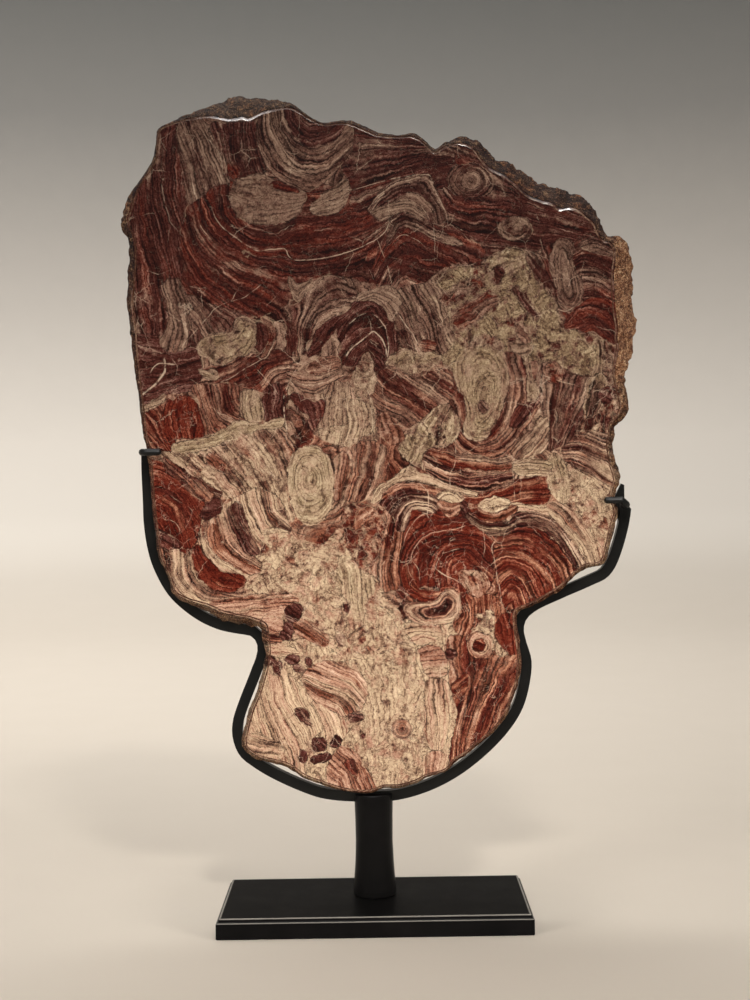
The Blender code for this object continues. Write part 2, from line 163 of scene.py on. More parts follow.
# Smooth random values in space: a random number for each lattice corner, blended over the cell. The four
# whole numbers only mix the corner's place well.
def lumps(points, cell, seed):
    grid = np.asarray(points) / cell + 1000
    low = np.floor(grid).astype(np.int64)
    part = grid - low
    part = part * part * (3 - 2 * part)
    total = 0
    for corner in range(8):
        bits = np.array([corner & 1, corner >> 1 & 1, corner >> 2 & 1])
        cellNumber = (low + bits) @ np.array([73856093, 19349663, 83492791]) + seed * 7919
        cellNumber = (cellNumber ^ (cellNumber >> 13)) * 1274126177 & 0x7FFFFFFF
        weight = np.prod(np.where(bits, part, 1 - part), axis=1)
        total = total + weight * ((cellNumber ^ (cellNumber >> 16)) % 65536 / 32767.5 - 1)
    return total


# Lumps of several sizes: each share of a size is added up.
def mixedLumps(points, sizes, seed):
    return sum(share * lumps(points, size, seed + k) for k, (share, size) in enumerate(sizes))


# A ring pushed in wherever it would come nearer to the bar than half its width and the gap.
def clearOfBar(ring):
    outer = toPlane(smoothCurve(readPoints(bar["outerEdge"]), bar["stations"], False), picture["barPixel"])
    towards = -rightOfWalk(outer, False)
    centre = outer + towards * bar["width"] / 2
    clearance = bar["width"] / 2 + bar["gap"]
    apart = np.linalg.norm(ring[:, None] - centre[None], axis=2)
    nearest = apart.argmin(axis=1)
    offset = ((ring - centre[nearest]) * towards[nearest]).sum(axis=1)
    push = np.where(apart.min(axis=1) < 2 * clearance, np.clip(clearance - offset, 0, None), 0)
    return ring + towards[nearest] * push[:, None]


# Square rings of a grid with half cells each way, as a walk round each ring: the share of the walk, and
# how far out the ring is.
def squareRings(half):
    i, j = np.meshgrid(np.arange(-half, half + 1), np.arange(-half, half + 1), indexing="ij")
    ring = np.maximum(abs(i), abs(j))
    walk = np.select([(j == ring) & (i < ring), (i == ring) & (j > -ring), (j == -ring) & (i > -ring)],
                     [i + ring, 3 * ring - j, 5 * ring - i], 7 * ring + j)
    return walk / np.maximum(8 * ring, 1), ring / half


# A flat face inside a closed line: each grid ring is the line drawn in towards the middle.
def flatGrid(line, middle, half):
    share, out = squareRings(half)
    count = len(line)
    looped = np.vstack([line, line[:1]])
    x = np.interp(share * count, np.arange(count + 1), looped[:, 0])
    z = np.interp(share * count, np.arange(count + 1), looped[:, 1])
    points = np.stack([middle[0] + (x - middle[0]) * out, middle[1] + (z - middle[1]) * out], axis=-1)
    number = np.arange((2 * half + 1) ** 2).reshape(2 * half + 1, -1)
    faces = np.stack([number[:-1, :-1], number[1:, :-1], number[1:, 1:], number[:-1, 1:]], axis=-1)
    border = np.empty(8 * half, int)
    onBorder = out == 1
    border[np.round(share[onBorder] * 8 * half).astype(int)] = number[onBorder]
    return points.reshape(-1, 2), faces.reshape(-1, 4), border


# A mesh from points and groups of faces, each group with its own number of corners.
def joinMesh(name, points, faceGroups):
    mesh = bpy.data.meshes.new(name)
    mesh.vertices.add(len(points))
    mesh.vertices.foreach_set("co", np.asarray(points, np.float32).ravel())
    corners = np.concatenate([group.ravel() for group in faceGroups])
    totals = np.concatenate([np.full(len(group), group.shape[1]) for group in faceGroups])
    mesh.loops.add(len(corners))
    mesh.loops.foreach_set("vertex_index", corners.astype(np.int32))
    mesh.polygons.add(len(totals))
    mesh.polygons.foreach_set("loop_start", (np.cumsum(totals) - totals).astype(np.int32))
    mesh.update(calc_edges=True)
    item = bpy.data.objects.new(name, mesh)
    bpy.context.scene.collection.objects.link(item)
    return item


# Rings down the broken rim, front to back. A ring lies at its share of the slope and then of the side; it is
# drawn in by what is left of the rim's width, by chips and by lumps, and kept clear of the bar.
def rimRings(outline, inward, rim):
    around = np.arange(len(rim)) / len(rim)
    thick = slab["thickness"]
    least, perWidth = slab["slope"]
    slopeDepth = least + perWidth * rim
    bite, biteGap = slab["chips"]
    shares = np.linspace(0, 1, slab["rings"] + 1)[1:]
    rings = []
    for step in [*shares**1.25, *(1 + shares)]:
        depth = slopeDepth * step if step <= 1 else slopeDepth + (thick - slopeDepth) * (step - 1)
        slopeShare = np.clip(depth / slopeDepth, 0, 1)
        backShare = np.clip(depth / thick - 0.45, 0, None) / 0.55
        chipped = np.clip(rim / 0.008, 0.12, 1) * slopeShare + 0.5 * backShare
        inset = rim * (1 - slopeShare) ** 1.3 + slab["backRound"] * backShare**2
        meanBite = 1 - 0.7 * np.clip(rim / 0.008, 0, 1) * (1 - backShare)
        inset = inset + bite * chipped * (meanBite + waves(around, depth / biteGap, 1.7))
        ring = outline + inward * inset[:, None]
        fine = mixedLumps(np.column_stack([ring[:, 0], depth, ring[:, 1]]), slab["lumps"], 1)
        rugged = slab["rugged"] * np.clip(rim / 0.007, 0.3, 1) * (0.2 + fine) * min(step * 3, 1)
        ring = ring + inward * rugged[:, None]
        y = slab["faceY"] + depth
        atBar = (y > slab["barY"][0]) & (y < slab["barY"][1])
        ring = np.where(atBar[:, None], clearOfBar(ring), ring)
        rings.append(np.column_stack([ring[:, 0], y, ring[:, 1]]))
    return rings


# Points of a flat outline at one depth.
def atDepth(flat, y):
    return np.column_stack([flat[:, 0], np.full(len(flat), y), flat[:, 1]])


# The slab: a flat polished face with a narrow rounded edge, rings down the broken rim, and a flat back.
# Its skin is 0 on the polished face, -1 on its edge, 1 on the broken rim, 1.6 on the rim's last ring and 2
# on the sawn back.
def makeSlab():
    count = 8 * slab["half"]
    edge = smoothCurve(readPoints(slab["edge"]), count, True)
    rim = blurRing(edge[:, 2], 8) * picture["facePixel"]
    # where the rim slopes far back, its outer edge is drawn as much larger as it is further from the eye
    deeper = np.clip(blurRing(edge[:, 2], 8) - 5, 0, None) * slab["slope"][1] * picture["facePixel"]
    spread = (deeper / -picture["eye"][1])[:, None]
    outline = toPlane(edge)
    outline = outline + (outline - [picture["eye"][0], picture["eye"][2]]) * spread
    inward = rightOfWalk(blurRing(outline, 11), True)
    rings = rimRings(outline, inward, rim)
    wide, deep = slab["bevel"]
    nibble = mixedLumps(np.column_stack([outline[:, 0], rim * 0, outline[:, 1]]), slab["nibbles"], 4)
    faceInset = rim + wide + slab["nibble"] * (0.5 + nibble) * np.clip(rim / 0.004, 0.3, 1.2)
    polish = outline + inward * faceInset[:, None]
    middle = toPlane([slab["middle"]])[0]
    face, faceCells, faceBorder = flatGrid(polish, middle, slab["half"])
    share = slab["half"] // slab["backHalf"]
    backLine = rings[-1][::share, ::2]
    backLine = backLine + (middle - backLine) * 0.02
    back, backCells, backBorder = flatGrid(backLine, middle, slab["backHalf"])
    polishEdge = atDepth(polish - inward * wide, slab["faceY"] + deep)
    rear = atDepth(back, slab["faceY"] + slab["thickness"])
    points = np.vstack([atDepth(face, slab["faceY"]), polishEdge, *rings, rear])
    first, rearFirst = len(face), len(points) - len(back)
    numbers = [faceBorder] + [first + count * k + np.arange(count) for k in range(len(rings) + 1)]
    walls = [np.column_stack([a, np.roll(a, -1), np.roll(b, -1), b]) for a, b in zip(numbers, numbers[1:])]
    # the last ring has share times as many points as the back's border, so these faces have more corners
    rearRing = rearFirst + backBorder
    strip = [np.roll(numbers[-1], -k)[::share] for k in range(share + 1)] + [np.roll(rearRing, -1), rearRing]
    cells = [faceCells, *walls, np.column_stack(strip), rearFirst + backCells[:, ::-1]]
    item = joinMesh("stone", points, cells)
    totals = [len(faceCells), count, count * (len(walls) - 1), len(backBorder) + len(backCells)]
    item.data.polygons.foreach_set("use_smooth", np.repeat([False, True, True, False], totals))
    # the polygons of the rounded edge take the second material
    item.data.polygons.foreach_set("material_index", np.repeat([0, 1, 0, 0], totals).astype(np.int32))
    skin = np.repeat([0.0, -1.0, 1.0, 1.6, 2.0], [first, count, count * (len(rings) - 1), count, len(back)])
    return item, points, skin


stone, stonePoints, stoneSkin = makeSlab()
print("stone made,", len(stone.data.polygons), "faces")


# How the pattern is drawn on the face. Lengths are in millimetres.
bedding = {
    "foldGap": 2.7,          # between folds on one sheet
    "veinGap": 7.0,          # between veins on one sheet
    "foldReach": 9,          # how far outside its edge a fold is still measured
    "veinReach": 5,          # and a vein outside its line
    "edgeSpacing": 2.4,      # between the points of a fold's edge
    "bedSpacing": 3.2,       # between those of a bed line
    "veinSpacing": 1.6,      # between those of a vein
    "ownBeds": 37,           # each fold starts this much higher in the stack of beds than the last
    "taper": 2.5,            # the pointed ends of a vein
    "softEdge": (3.6, 0.4),  # how softly broken ground fades in: its width, and its share at the edge
    "slide": (0.35, -0.25),  # how far the beds go across and up for each millimetre of depth
    "wander": ((1, 7.0), (0.6, 3.5)),  # the shares and sizes of the wander of every edge
    "wanderShare": 0.45,
}

folds, veins = {}, {}


# A fold, over the ones before it: its edge, and then the lines that its beds run along, or round with rings,
# in pixels of the picture.
# pale and red are from 0 to about 1, and fine is how close the beds are. mess is broken ground, olive is
# green-grey, and busy has stronger beds.
def addFold(name, pale, red, fine, lines, mess=0, olive=0, busy=0, rings=False):
    edge, *beds = [readPoints(line) for line in lines.split("|")]
    folds[name] = {"pale": pale, "red": red, "fine": fine, "edge": edge, "beds": beds, "rings": rings,
                   "kind": (mess, olive, busy, 0)}


# A vein, as wide as given in pixels. A light of 0 is a dark crack.
def addVein(name, wide, line, light=1.0):
    veins[name] = {"wide": wide, "path": readPoints(line), "light": light}


addFold("great bowl", 0.2, 0.62, 1, """176,228 186,205 204,196 214,182 240,178 300,180 350,190 385,198
    398,215 400,240 420,262 400,285 362,282 335,276 312,282 298,300 288,305 285,320 262,322 240,318 205,316
    184,292 175,262 | 226,180 229,205 238,221 252,229 270,231 288,227 300,221 330,218 360,212 | 217,182
    222,210 232,228 248,240 266,243 284,242 300,237 335,236 372,226 | 205,196 211,210 220,224 232,235
    245,245 262,251 285,251 292,258 303,260 330,257 350,252 372,240 390,222 | 196,205 204,228 220,247
    240,260 264,267 288,275 312,272 340,269 368,262 396,246 | 188,215 196,240 210,258 228,272 250,284
    272,294 290,308 | 178,232 187,258 200,279 222,296 242,310 262,324""")
addFold("top right beds", 0.2, 0.42, 1, """432,120 480,128 640,200 640,258 612,256 590,246 560,240 545,250
    500,252 470,262 448,236 440,205 436,175 446,160 430,148 | 426,140 450,136 475,142 500,158 540,182
    590,205 620,215 | 426,152 450,150 468,158 485,171 510,187 545,205 590,220 620,228 | 436,170 446,186
    457,198 478,203 505,204 540,212 580,224 612,234 | 440,195 452,208 475,212 505,214 540,222 580,232
    616,244 | 446,225 475,234 510,238 545,240 580,243 612,252""")
addFold("tan strips", 0.66, 0.36, 1.15, """140,448 170,444 210,438 250,430 290,420 296,450 292,480 296,520
    276,522 250,505 226,500 206,500 186,480 165,465 140,465 | 150,455 175,472 195,494 210,515 | 175,446
    200,470 220,492 236,515 | 205,440 228,462 248,485 262,515 | 245,434 262,455 275,480 286,515""",
    mess=0.25)
addFold("olive breccia", 0.66, 0.14, 0.8, """424,282 440,271 456,265 470,266 484,262 494,253 506,248 522,249
    534,262 546,282 556,300 562,326 575,330 590,334 604,338 606,356 600,372 585,376 565,370 545,362 530,362
    510,364 500,380 460,380 445,372 440,352 448,330 440,300 | 430,290 470,280 510,290 540,330 560,372 |
    430,330 460,330 490,340 510,370""", mess=0.8, olive=0.85)
addFold("slope beds", 0.46, 0.34, 1.3, """560,446 575,434 596,428 640,430 640,520 615,500 590,478 568,466
    560,456 | 550,436 580,432 604,440 630,452 | 552,450 580,450 606,462 630,478 | 556,462 580,468 606,484
    630,500""")
addFold("quarter arcs", 0.62, 0.36, 1.3, """164,545 182,548 194,536 204,520 222,505 240,496 262,488 280,500
    290,530 280,548 262,566 250,580 246,596 262,608 240,624 160,612 150,570 | 160,550 166,580 182,600
    200,609 230,614 270,616 | 177,545 182,576 193,592 210,600 235,604 270,605 | 190,540 194,568 203,583
    215,590 246,592 | 202,525 208,548 217,560 230,569 250,578 | 216,515 222,540 233,555 248,564 266,572 |
    229,498 238,525 247,543 264,558 | 242,490 250,518 257,533 274,548 | 256,482 262,508 270,525 288,538""")
addFold("cream lobe", 0.92, 0.2, 0.8, """256,640 290,622 330,640 400,620 450,622 540,616 540,700 505,750
    440,800 360,812 280,790 225,765 228,720 250,680 | 300,640 310,700 330,790 | 350,640 365,700 380,790 |
    400,630 402,700 405,790 | 440,630 438,700 425,790""", mess=0.45, olive=0.15, busy=-0.4)
addFold("left flank", 0.12, 0.45, 1.1, """150,118 178,116 186,150 190,190 186,214 180,236 182,262 180,290
    196,318 205,345 118,352 112,220 130,160 | 118,190 118,240 124,290 128,345 | 138,180 139,215 144,242
    152,272 160,300 166,340 | 160,130 160,180 165,208 172,228 178,250 186,280 200,310 215,338 | 176,130
    172,170 176,200 183,225 190,250""")
addFold("purple block", 0.22, 0.35, 1.2, """212,122 232,123 255,122 256,140 258,150 266,165 262,174 248,176
    240,178 230,180 224,170 223,158 217,146 211,134 | 212,120 222,145 228,180 | 236,120 236,150 244,180 |
    252,118 254,145 262,170 272,182""")
addFold("top beds", 0.24, 0.42, 1, """346,112 380,126 413,128 436,142 452,150 455,165 446,182 434,192
    400,205 366,212 350,206 350,190 343,172 336,160 350,140 | 330,126 360,128 390,134 420,140 440,150 |
    330,148 365,148 400,146 425,146 447,152 | 333,168 370,165 400,158 425,153 452,156 | 340,190 372,183
    400,173 430,166 456,162 | 345,212 372,205 400,192 430,180""")
addFold("flowing beds", 0.3, 0.48, 1, """184,296 205,302 240,312 262,316 288,304 298,300 312,285 322,290
    316,310 308,330 306,352 286,356 284,326 268,320 252,318 236,318 230,330 210,336 198,346 188,330 |
    180,300 200,330 210,352 | 195,296 218,318 236,334 | 222,296 245,310 268,324 280,350 | 262,296 282,312
    291,330 292,360 | 298,290 297,315 296,360 | 316,280 306,310 302,360""")
addFold("slanting red bands", 0.28, 0.62, 1.1, """196,372 215,366 235,358 256,352 290,356 288,385 284,424
    262,424 262,395 242,388 212,386 196,386 | 190,378 220,372 242,362 262,350 285,345 | 195,390 222,381
    244,370 262,360 290,352 | 205,402 240,388 258,382 268,370 290,364 | 250,410 266,392 276,378 292,372""")
addFold("brick wedge", 0.26, 0.85, 0.9, """130,412 150,407 160,403 172,398 176,440 172,450 150,452 132,450 |
    130,412 145,425 165,450 | 150,402 162,425 172,450""")
addFold("dark red fan", 0.14, 0.85, 1, """140,460 162,462 176,474 192,490 204,502 202,520 196,540 186,556
    174,546 160,538 140,540 | 140,470 158,470 176,480 194,496 208,512 | 140,484 158,486 174,496 188,514
    196,540 | 140,502 154,504 166,514 176,530 182,552 | 138,522 150,526 160,538 166,556""")
addFold("olive strips", 0.56, 0.32, 1, """324,384 332,376 344,378 352,388 360,400 372,398 376,412 382,420
    378,440 360,444 340,448 322,440 312,432 322,418 326,400 | 324,376 318,400 312,436 | 336,374 335,400
    332,446 | 350,380 352,405 350,446 | 370,390 374,415 378,446""", olive=0.3)
addFold("slanting olive beds", 0.5, 0.26, 1, """384,318 394,308 398,290 412,280 432,276 444,292 450,320
    456,342 442,354 425,356 410,352 398,348 390,336 | 384,296 398,318 410,345 414,360 | 400,284 418,315
    430,345 434,362 | 418,276 438,312 450,350""", olive=0.4)
addFold("olive blotch", 0.7, 0.12, 1, """408,432 424,418 436,404 448,402 458,418 460,432 456,442 442,454
    428,470 418,468 404,458 398,446 | 440,396 424,420 408,448 | 456,404 446,428 430,462""", mess=0.4,
    olive=0.6)
addFold("cream crown", 0.92, 0.05, 0.8, """486,276 491,262 498,253 508,250 520,251 526,260 520,272 511,280
    505,290 494,293 485,287 | 482,270 500,256 524,256 | 484,290 505,285 524,270""", mess=0.4, olive=0.6)
addFold("dark slant", 0.1, 0.15, 0.9, """514,286 520,290 528,302 535,310 541,319 534,319 526,310 517,297 |
    514,284 526,302 542,320""")
addFold("red-brown fragment", 0.36, 0.9, 0.8, """451,318 456,310 465,306 474,298 484,293 494,294 499,300
    492,308 484,315 477,322 467,326 462,332 455,327 | 452,312 475,302 498,292 | 455,328 475,320 498,304""")
addFold("brown fragment", 0.32, 0.55, 0.9, """437,296 444,292 455,285 470,278 482,279 484,287 474,291
    462,299 452,305 443,306 | 436,300 458,286 486,280""", mess=0.4)
addFold("bowl of the second oval", 0.34, 0.62, 1.1, """428,368 446,366 452,372 500,352 512,352 524,358
    532,380 540,392 540,408 528,424 516,440 508,456 490,464 462,462 440,452 456,440 460,425 450,405 440,390
    | 430,362 447,388 454,405 462,426 471,438 483,444 494,440 505,425 513,408 514,385 508,356 | 420,368
    440,395 450,414 458,434 470,446 484,451 500,446 513,430 524,412 528,388 520,352 | 412,380 432,404
    446,430 462,452 484,459 504,454 520,436 536,416 542,392 534,352""")
addFold("steep brown beds", 0.32, 0.36, 1.1, """546,362 565,372 586,378 594,380 588,402 582,420 572,436
    560,450 546,450 546,430 540,412 543,396 536,386 538,370 | 540,360 540,395 544,420 546,452 | 560,362
    552,395 550,425 550,452 | 578,366 567,400 560,425 552,456 | 596,370 584,402 572,426 558,456""")
addFold("red slope", 0.16, 0.62, 1.1, """540,252 552,244 560,244 576,262 584,290 592,298 580,304 566,320
    560,306 552,290 545,272 | 540,246 550,275 562,305 | 556,240 562,268 572,292 584,304""")
addFold("brown rind edge", 0.44, 0.45, 0.9, """604,340 640,344 640,440 612,434 596,430 578,434 588,416
    600,410 608,380 | 600,340 606,380 596,430 | 625,340 628,400 615,436""", mess=0.6)
addFold("red beds of the stack", 0.26, 0.9, 1.2, """462,495 480,494 498,487 514,480 532,477 550,478 552,490
    548,504 530,506 512,503 500,499 484,500 474,506 464,502 | 456,494 478,494 500,486 520,477 556,474 |
    456,502 478,501 500,494 520,486 556,484 | 456,512 480,508 502,502 525,496 556,494""")
addFold("red floor", 0.12, 0.9, 1, """404,512 425,505 445,510 470,508 480,522 470,532 440,530 415,534
    400,545 398,530 | 398,530 420,512 450,514 480,522 | 400,550 420,530 450,524 480,534""")
addFold("right red dome", 0.26, 0.86, 1.15, """484,530 500,536 514,528 530,526 546,533 560,546 571,562
    582,580 560,600 535,616 504,618 499,600 496,580 492,560 490,545 | 478,530 496,537 513,530 529,528
    546,537 560,551 571,567 582,590 | 484,550 497,545 512,541 528,543 543,553 556,570 566,600 | 490,562
    504,553 518,553 531,561 543,575 554,604 | 496,578 508,566 521,568 531,580 542,612 | 500,596 511,581
    520,587 528,618""", busy=0.6)
addFold("left strips", 0.5, 0.72, 1.2, """368,520 382,508 396,518 404,534 401,554 400,572 394,592 380,590
    370,575 362,552 | 404,500 396,530 390,560 392,596 | 388,500 380,530 376,560 376,596 | 372,505 364,535
    360,570""")
addFold("spotted cream", 0.84, 0.26, 0.9, """562,464 590,476 612,490 640,510 640,540 612,548 602,568 594,566
    588,546 576,524 564,506 | 560,460 590,480 620,510 | 564,500 590,530 606,566""", mess=0.8)
addFold("cream crackle", 0.86, 0.3, 0.9, """262,566 254,556 262,545 264,530 280,528 300,540 325,542 340,528
    350,545 356,570 372,576 388,600 402,614 400,640 350,660 330,650 318,628 300,616 276,614 250,606 244,592
    250,576 | 245,560 290,552 350,560 400,580 | 245,590 290,582 340,590 400,610 | 245,612 290,610 340,620
    400,640""", mess=0.55, busy=-0.3)
addFold("fragments by the vein", 0.42, 0.56, 1, """344,506 356,502 370,504 382,510 386,528 380,548 372,566
    362,570 352,556 346,540 342,522 | 340,530 360,516 388,506 | 344,556 364,540 386,530""", mess=0.75)
addFold("cream fan", 0.82, 0.35, 1, """312,700 324,706 338,714 346,722 344,740 330,745 318,735 312,720 |
    308,700 318,722 322,748 | 322,700 336,722 344,748""")
addFold("red lobe side", 0.38, 0.75, 1.2, """446,640 456,634 480,640 500,655 530,655 535,700 510,745 480,765
    455,785 446,770 452,740 456,715 451,690 448,665 | 446,660 450,700 444,740 440,790 | 470,650 466,690
    456,730 450,790 | 500,655 484,690 470,730 462,780 | 520,665 500,695 486,730 476,770 | 535,690 514,715
    500,745 490,775""", busy=0.4)
addFold("spot ring", 0.42, 0.45, 1.1, """391,725 397,718 407,719 412,728 408,739 398,740 391,733 | 398,727
    402,725 405,729 402,733 398,731 | 392,725 398,719 406,720 411,728 407,738 398,739 392,733""",
    rings=True)
addFold("small spot", 0.45, 0.2, 0.9, """402,757 406,754 410,757 409,765 405,768 402,763 | 402,755
    410,767""")
addFold("near-black belt", -0.05, 0.45, 1, """240,250 262,256 286,256 293,263 330,262 355,256 366,252
    362,266 335,273 300,275 270,268 250,262 | 232,235 245,245 262,251 285,251 292,258 303,260 330,257
    350,252 372,240 | 220,247 240,260 264,267 288,275 312,272 340,269 368,262""")
addFold("slanting grey block", 0.42, 0.15, 1.2, """180,121 192,116 203,121 209,135 216,147 222,160 223,171
    229,182 220,185 206,190 196,200 189,205 185,190 181,170 178,150 176,134 | 176,130 184,155 192,178
    198,200 | 190,122 201,148 212,172 220,188""")
addFold("fan", 0.5, 0.42, 1, """257,122 266,112 283,104 303,106 320,116 350,116 354,135 350,150 343,163
    328,178 310,191 290,185 275,175 264,160 258,142 | 289,100 291,116 299,126 312,132 327,130 342,120 |
    281,100 285,124 296,140 311,147 328,143 346,128 | 270,108 275,138 287,157 303,168 322,167 342,152 |
    258,112 263,140 275,163 293,178 312,185 334,173 352,152""")
addFold("cusp", 0.95, 0.12, 1, """288,277 296,283 304,283 313,276 309,288 301,300 297,306 292,299 289,288 |
    288,270 297,286 313,270 | 284,290 297,310 312,290""")
addFold("swirl", 0.4, 0.4, 1.1, """447,178 452,169 463,164 477,165 489,173 494,184 489,194 477,199 462,198
    451,190 | 466,177 472,174 478,178 476,186 469,187 465,182 | 449,179 455,168 470,163 486,170 492,184
    482,196 464,198 452,190""", rings=True)
addFold("dome under the shard", 0.2, 0.58, 1, """372,268 378,252 384,236 391,222 402,214 416,214 432,222
    452,230 474,240 486,256 470,264 450,266 438,272 428,281 404,288 388,292 378,285 | 368,268 378,250
    385,234 392,221 402,214 416,215 432,223 456,233 480,240 | 374,272 386,252 394,241 402,235 411,237
    421,243 438,252 460,262 | 382,280 392,266 400,259 411,259 423,264 440,270 | 388,290 397,277 406,273
    415,275 430,282""")
addFold("speckled blob", 0.52, 0.34, 0.9, """497,226 505,219 516,217 527,220 533,229 530,237 518,241 505,239
    497,233 | 509,227 515,224 521,228 516,233 | 497,226 506,219 517,217 528,221 533,229 529,237 517,241
    504,239""", mess=0.3, rings=True)
addFold("wavy beds at the right", 0.3, 0.5, 1, """576,242 590,238 616,246 618,300 606,304 594,298 584,300
    579,288 574,272 572,256 | 568,246 580,241 592,240 604,244 618,250 | 568,262 578,258 588,256 600,261
    618,270 | 570,276 580,270 590,271 602,276 618,282 | 572,292 584,286 594,286 604,291 618,298""")
addFold("purple field", 0.02, 0.12, 0.8, """120,338 158,338 164,352 182,350 196,344 201,362 197,386 180,394
    158,397 140,410 125,410 | 125,340 150,350 195,345 | 130,400 160,392 200,380""", mess=0.2)
addFold("dark gap", 0, 0.3, 1, """256,320 268,326 270,345 262,356 254,352 250,340 | 256,318 262,335
    256,356""")
addFold("red block", 0.1, 1.2, 1, """162,413 167,403 178,396 190,396 197,402 201,415 204,428 205,437 198,439
    185,438 172,440 164,432 161,422 | 160,400 158,420 162,442 | 172,398 170,420 176,442 | 184,396 185,420
    186,442 | 196,394 202,420 206,442""")
addFold("dark strips", 0.3, 0.6, 1.15, """162,458 174,462 190,474 208,486 222,494 212,502 200,500 184,486
    168,470 | 158,456 184,478 206,502 | 172,456 198,476 222,494""")
addFold("onion fold", 0.36, 0.36, 1.1, """313,282 322,277 335,276 350,284 357,294 350,306 340,312 325,320
    312,334 305,352 298,352 299,325 304,300 | 296,360 299,325 305,301 315,284 332,275 354,280 | 302,358
    304,328 311,308 322,295 336,288 356,292 | 306,350 311,326 322,313 334,308 350,306""")
addFold("dark dome", 0.1, 0.28, 1.1, """334,336 340,322 349,311 358,302 368,299 380,303 390,314 396,328
    398,345 395,361 385,368 376,372 366,366 354,366 344,368 338,360 342,346 | 334,336 348,313 360,302
    372,299 384,306 393,322 397,345 392,370 | 338,342 350,324 360,317 370,313 379,319 386,331 389,346
    387,370 | 342,364 350,351 360,342 370,334 378,339 384,350 384,370""")
addFold("striped loop", 0.42, 0.55, 1.2, """286,372 296,370 315,374 336,368 350,374 346,382 334,380 326,387
    316,393 304,391 294,384 | 284,374 300,376 320,377 338,372 354,376 | 288,380 302,388 316,391 328,384
    340,378""")
addFold("cream column", 0.9, 0.16, 0.9, """350,399 358,400 366,404 371,398 373,412 374,424 370,434 360,438
    352,447 338,446 322,440 318,431 334,425 348,425 347,412 | 346,396 350,420 344,450 | 368,396 372,420
    366,446""", mess=0.3, olive=0.3)
addFold("beds right of the plume", 0.36, 0.58, 1.1, """373,376 384,368 402,371 418,376 432,368 446,372
    454,388 450,403 440,404 429,410 419,421 410,429 398,425 386,413 373,406 370,392 | 385,358 410,374
    434,391 456,408 | 374,366 395,384 415,398 438,414 | 366,380 378,398 392,404 405,409 424,426 | 362,400
    380,412 395,419 410,432""")
addFold("first oval", 0.92, 0.1, 1.1, """296,448 306,445 318,447 327,456 333,470 334,488 331,504 324,518
    314,526 302,524 294,512 290,495 288,476 290,460 | 305,474 309,470 313,475 313,484 308,488 304,482 |
    293,462 304,450 320,454 327,474 326,500 314,516 300,512 292,488""", mess=0.25, olive=0.6, busy=-0.5,
    rings=True)
addFold("brown strips", 0.46, 0.5, 1.1, """352,447 366,441 380,443 388,452 387,470 383,481 374,493 363,502
    352,502 343,498 349,484 354,464 | 352,436 352,470 342,504 | 367,436 362,470 350,506 | 382,440 376,475
    360,508 | 394,450 386,482 370,510""")
addFold("cavity", -0.2, 0.15, 0.8, """490,273 496,266 504,266 502,276 498,284 491,281 | 488,268 504,282""",
    mess=0.4)
addFold("slate band", 0.06, 0, 0.9, """526,254 534,260 542,267 549,278 556,292 552,297 543,287 535,278
    529,266 | 524,252 540,272 556,298""", mess=0.3)
addFold("orange chip by the blob", 0.5, 0.9, 0.9, """514,322 521,323 527,332 532,342 525,344 517,337 |
    514,320 532,346""")
addFold("dark red limb", 0.04, 0.5, 1, """530,400 540,392 541,402 534,412 524,422 514,428 508,425 513,413
    522,403 | 536,388 524,406 508,426 | 544,398 530,418 516,432""")
addFold("second oval", 0.84, 0.2, 1.1, """456,356 466,346 480,340 494,343 503,352 507,366 508,382 505,400
    499,416 491,431 482,440 473,441 465,436 464,424 467,411 461,396 455,380 452,366 | 481,384 486,382
    490,390 489,402 484,412 479,408 477,394 | 464,362 480,350 496,360 501,382 497,404 484,428 474,424
    472,408 465,386""", mess=0.3, olive=0.6, busy=-0.7, rings=True)
addFold("green strip", 0.7, 0.1, 1.2, """596,338 603,344 604,360 602,374 592,378 590,370 597,356 | 592,336
    597,355 590,380 | 606,340 605,360 602,380""", olive=0.5)
addFold("fan strips", 0.6, 0.4, 1.2, """510,456 518,443 530,430 546,416 549,434 546,448 536,456 520,462 |
    506,456 522,436 546,412 | 516,464 534,446 552,424 | 528,466 542,454 556,436""")
addFold("sagging stack", 0.36, 0.46, 1.2, """422,462 434,448 456,452 480,455 496,460 512,456 514,470 512,482
    498,488 478,492 458,489 440,482 428,474 | 418,444 442,449 465,454 485,455 500,458 520,452 | 418,452
    444,461 470,466 500,466 525,460 | 416,461 438,472 460,478 485,479 510,474 525,470 | 416,468 436,480
    455,487 478,491 500,487 522,480""", busy=1)
addFold("lamellae", 0.26, 0.36, 1.4, """380,504 390,492 408,488 428,491 440,498 438,510 428,514 412,509
    408,522 400,532 393,520 386,510 | 378,512 388,496 405,489 425,490 446,500 | 386,530 391,508 402,500
    425,498 446,508 | 398,540 403,514 410,506 428,505 444,516""", busy=1)
addFold("pink-cream bed", 0.84, 0.42, 1.1, """506,509 514,503 530,506 546,505 556,514 546,519 530,515
    515,514 | 504,506 530,506 558,512 | 504,516 530,515 558,522""")
addFold("left red dome", 0.1, 0.85, 1, """399,558 404,543 414,530 430,521 450,518 470,520 484,529 495,540
    492,552 494,570 490,590 470,597 448,592 430,586 412,592 402,578 | 396,590 398,560 405,543 415,530
    431,520 452,517 476,522 500,540 | 412,596 410,572 413,553 423,541 440,533 460,531 480,535 498,552 |
    426,598 426,578 430,560 441,546 456,541 475,543 494,560 | 442,590 440,570 444,558 454,551 468,550
    488,568""")
addFold("curved cream beds", 0.64, 0.34, 1.2, """546,504 560,501 575,511 590,530 600,552 606,572 584,580
    586,562 577,545 567,532 554,519 | 540,496 564,504 582,522 596,545 606,575 | 544,512 562,525 576,542
    586,560 588,585""")
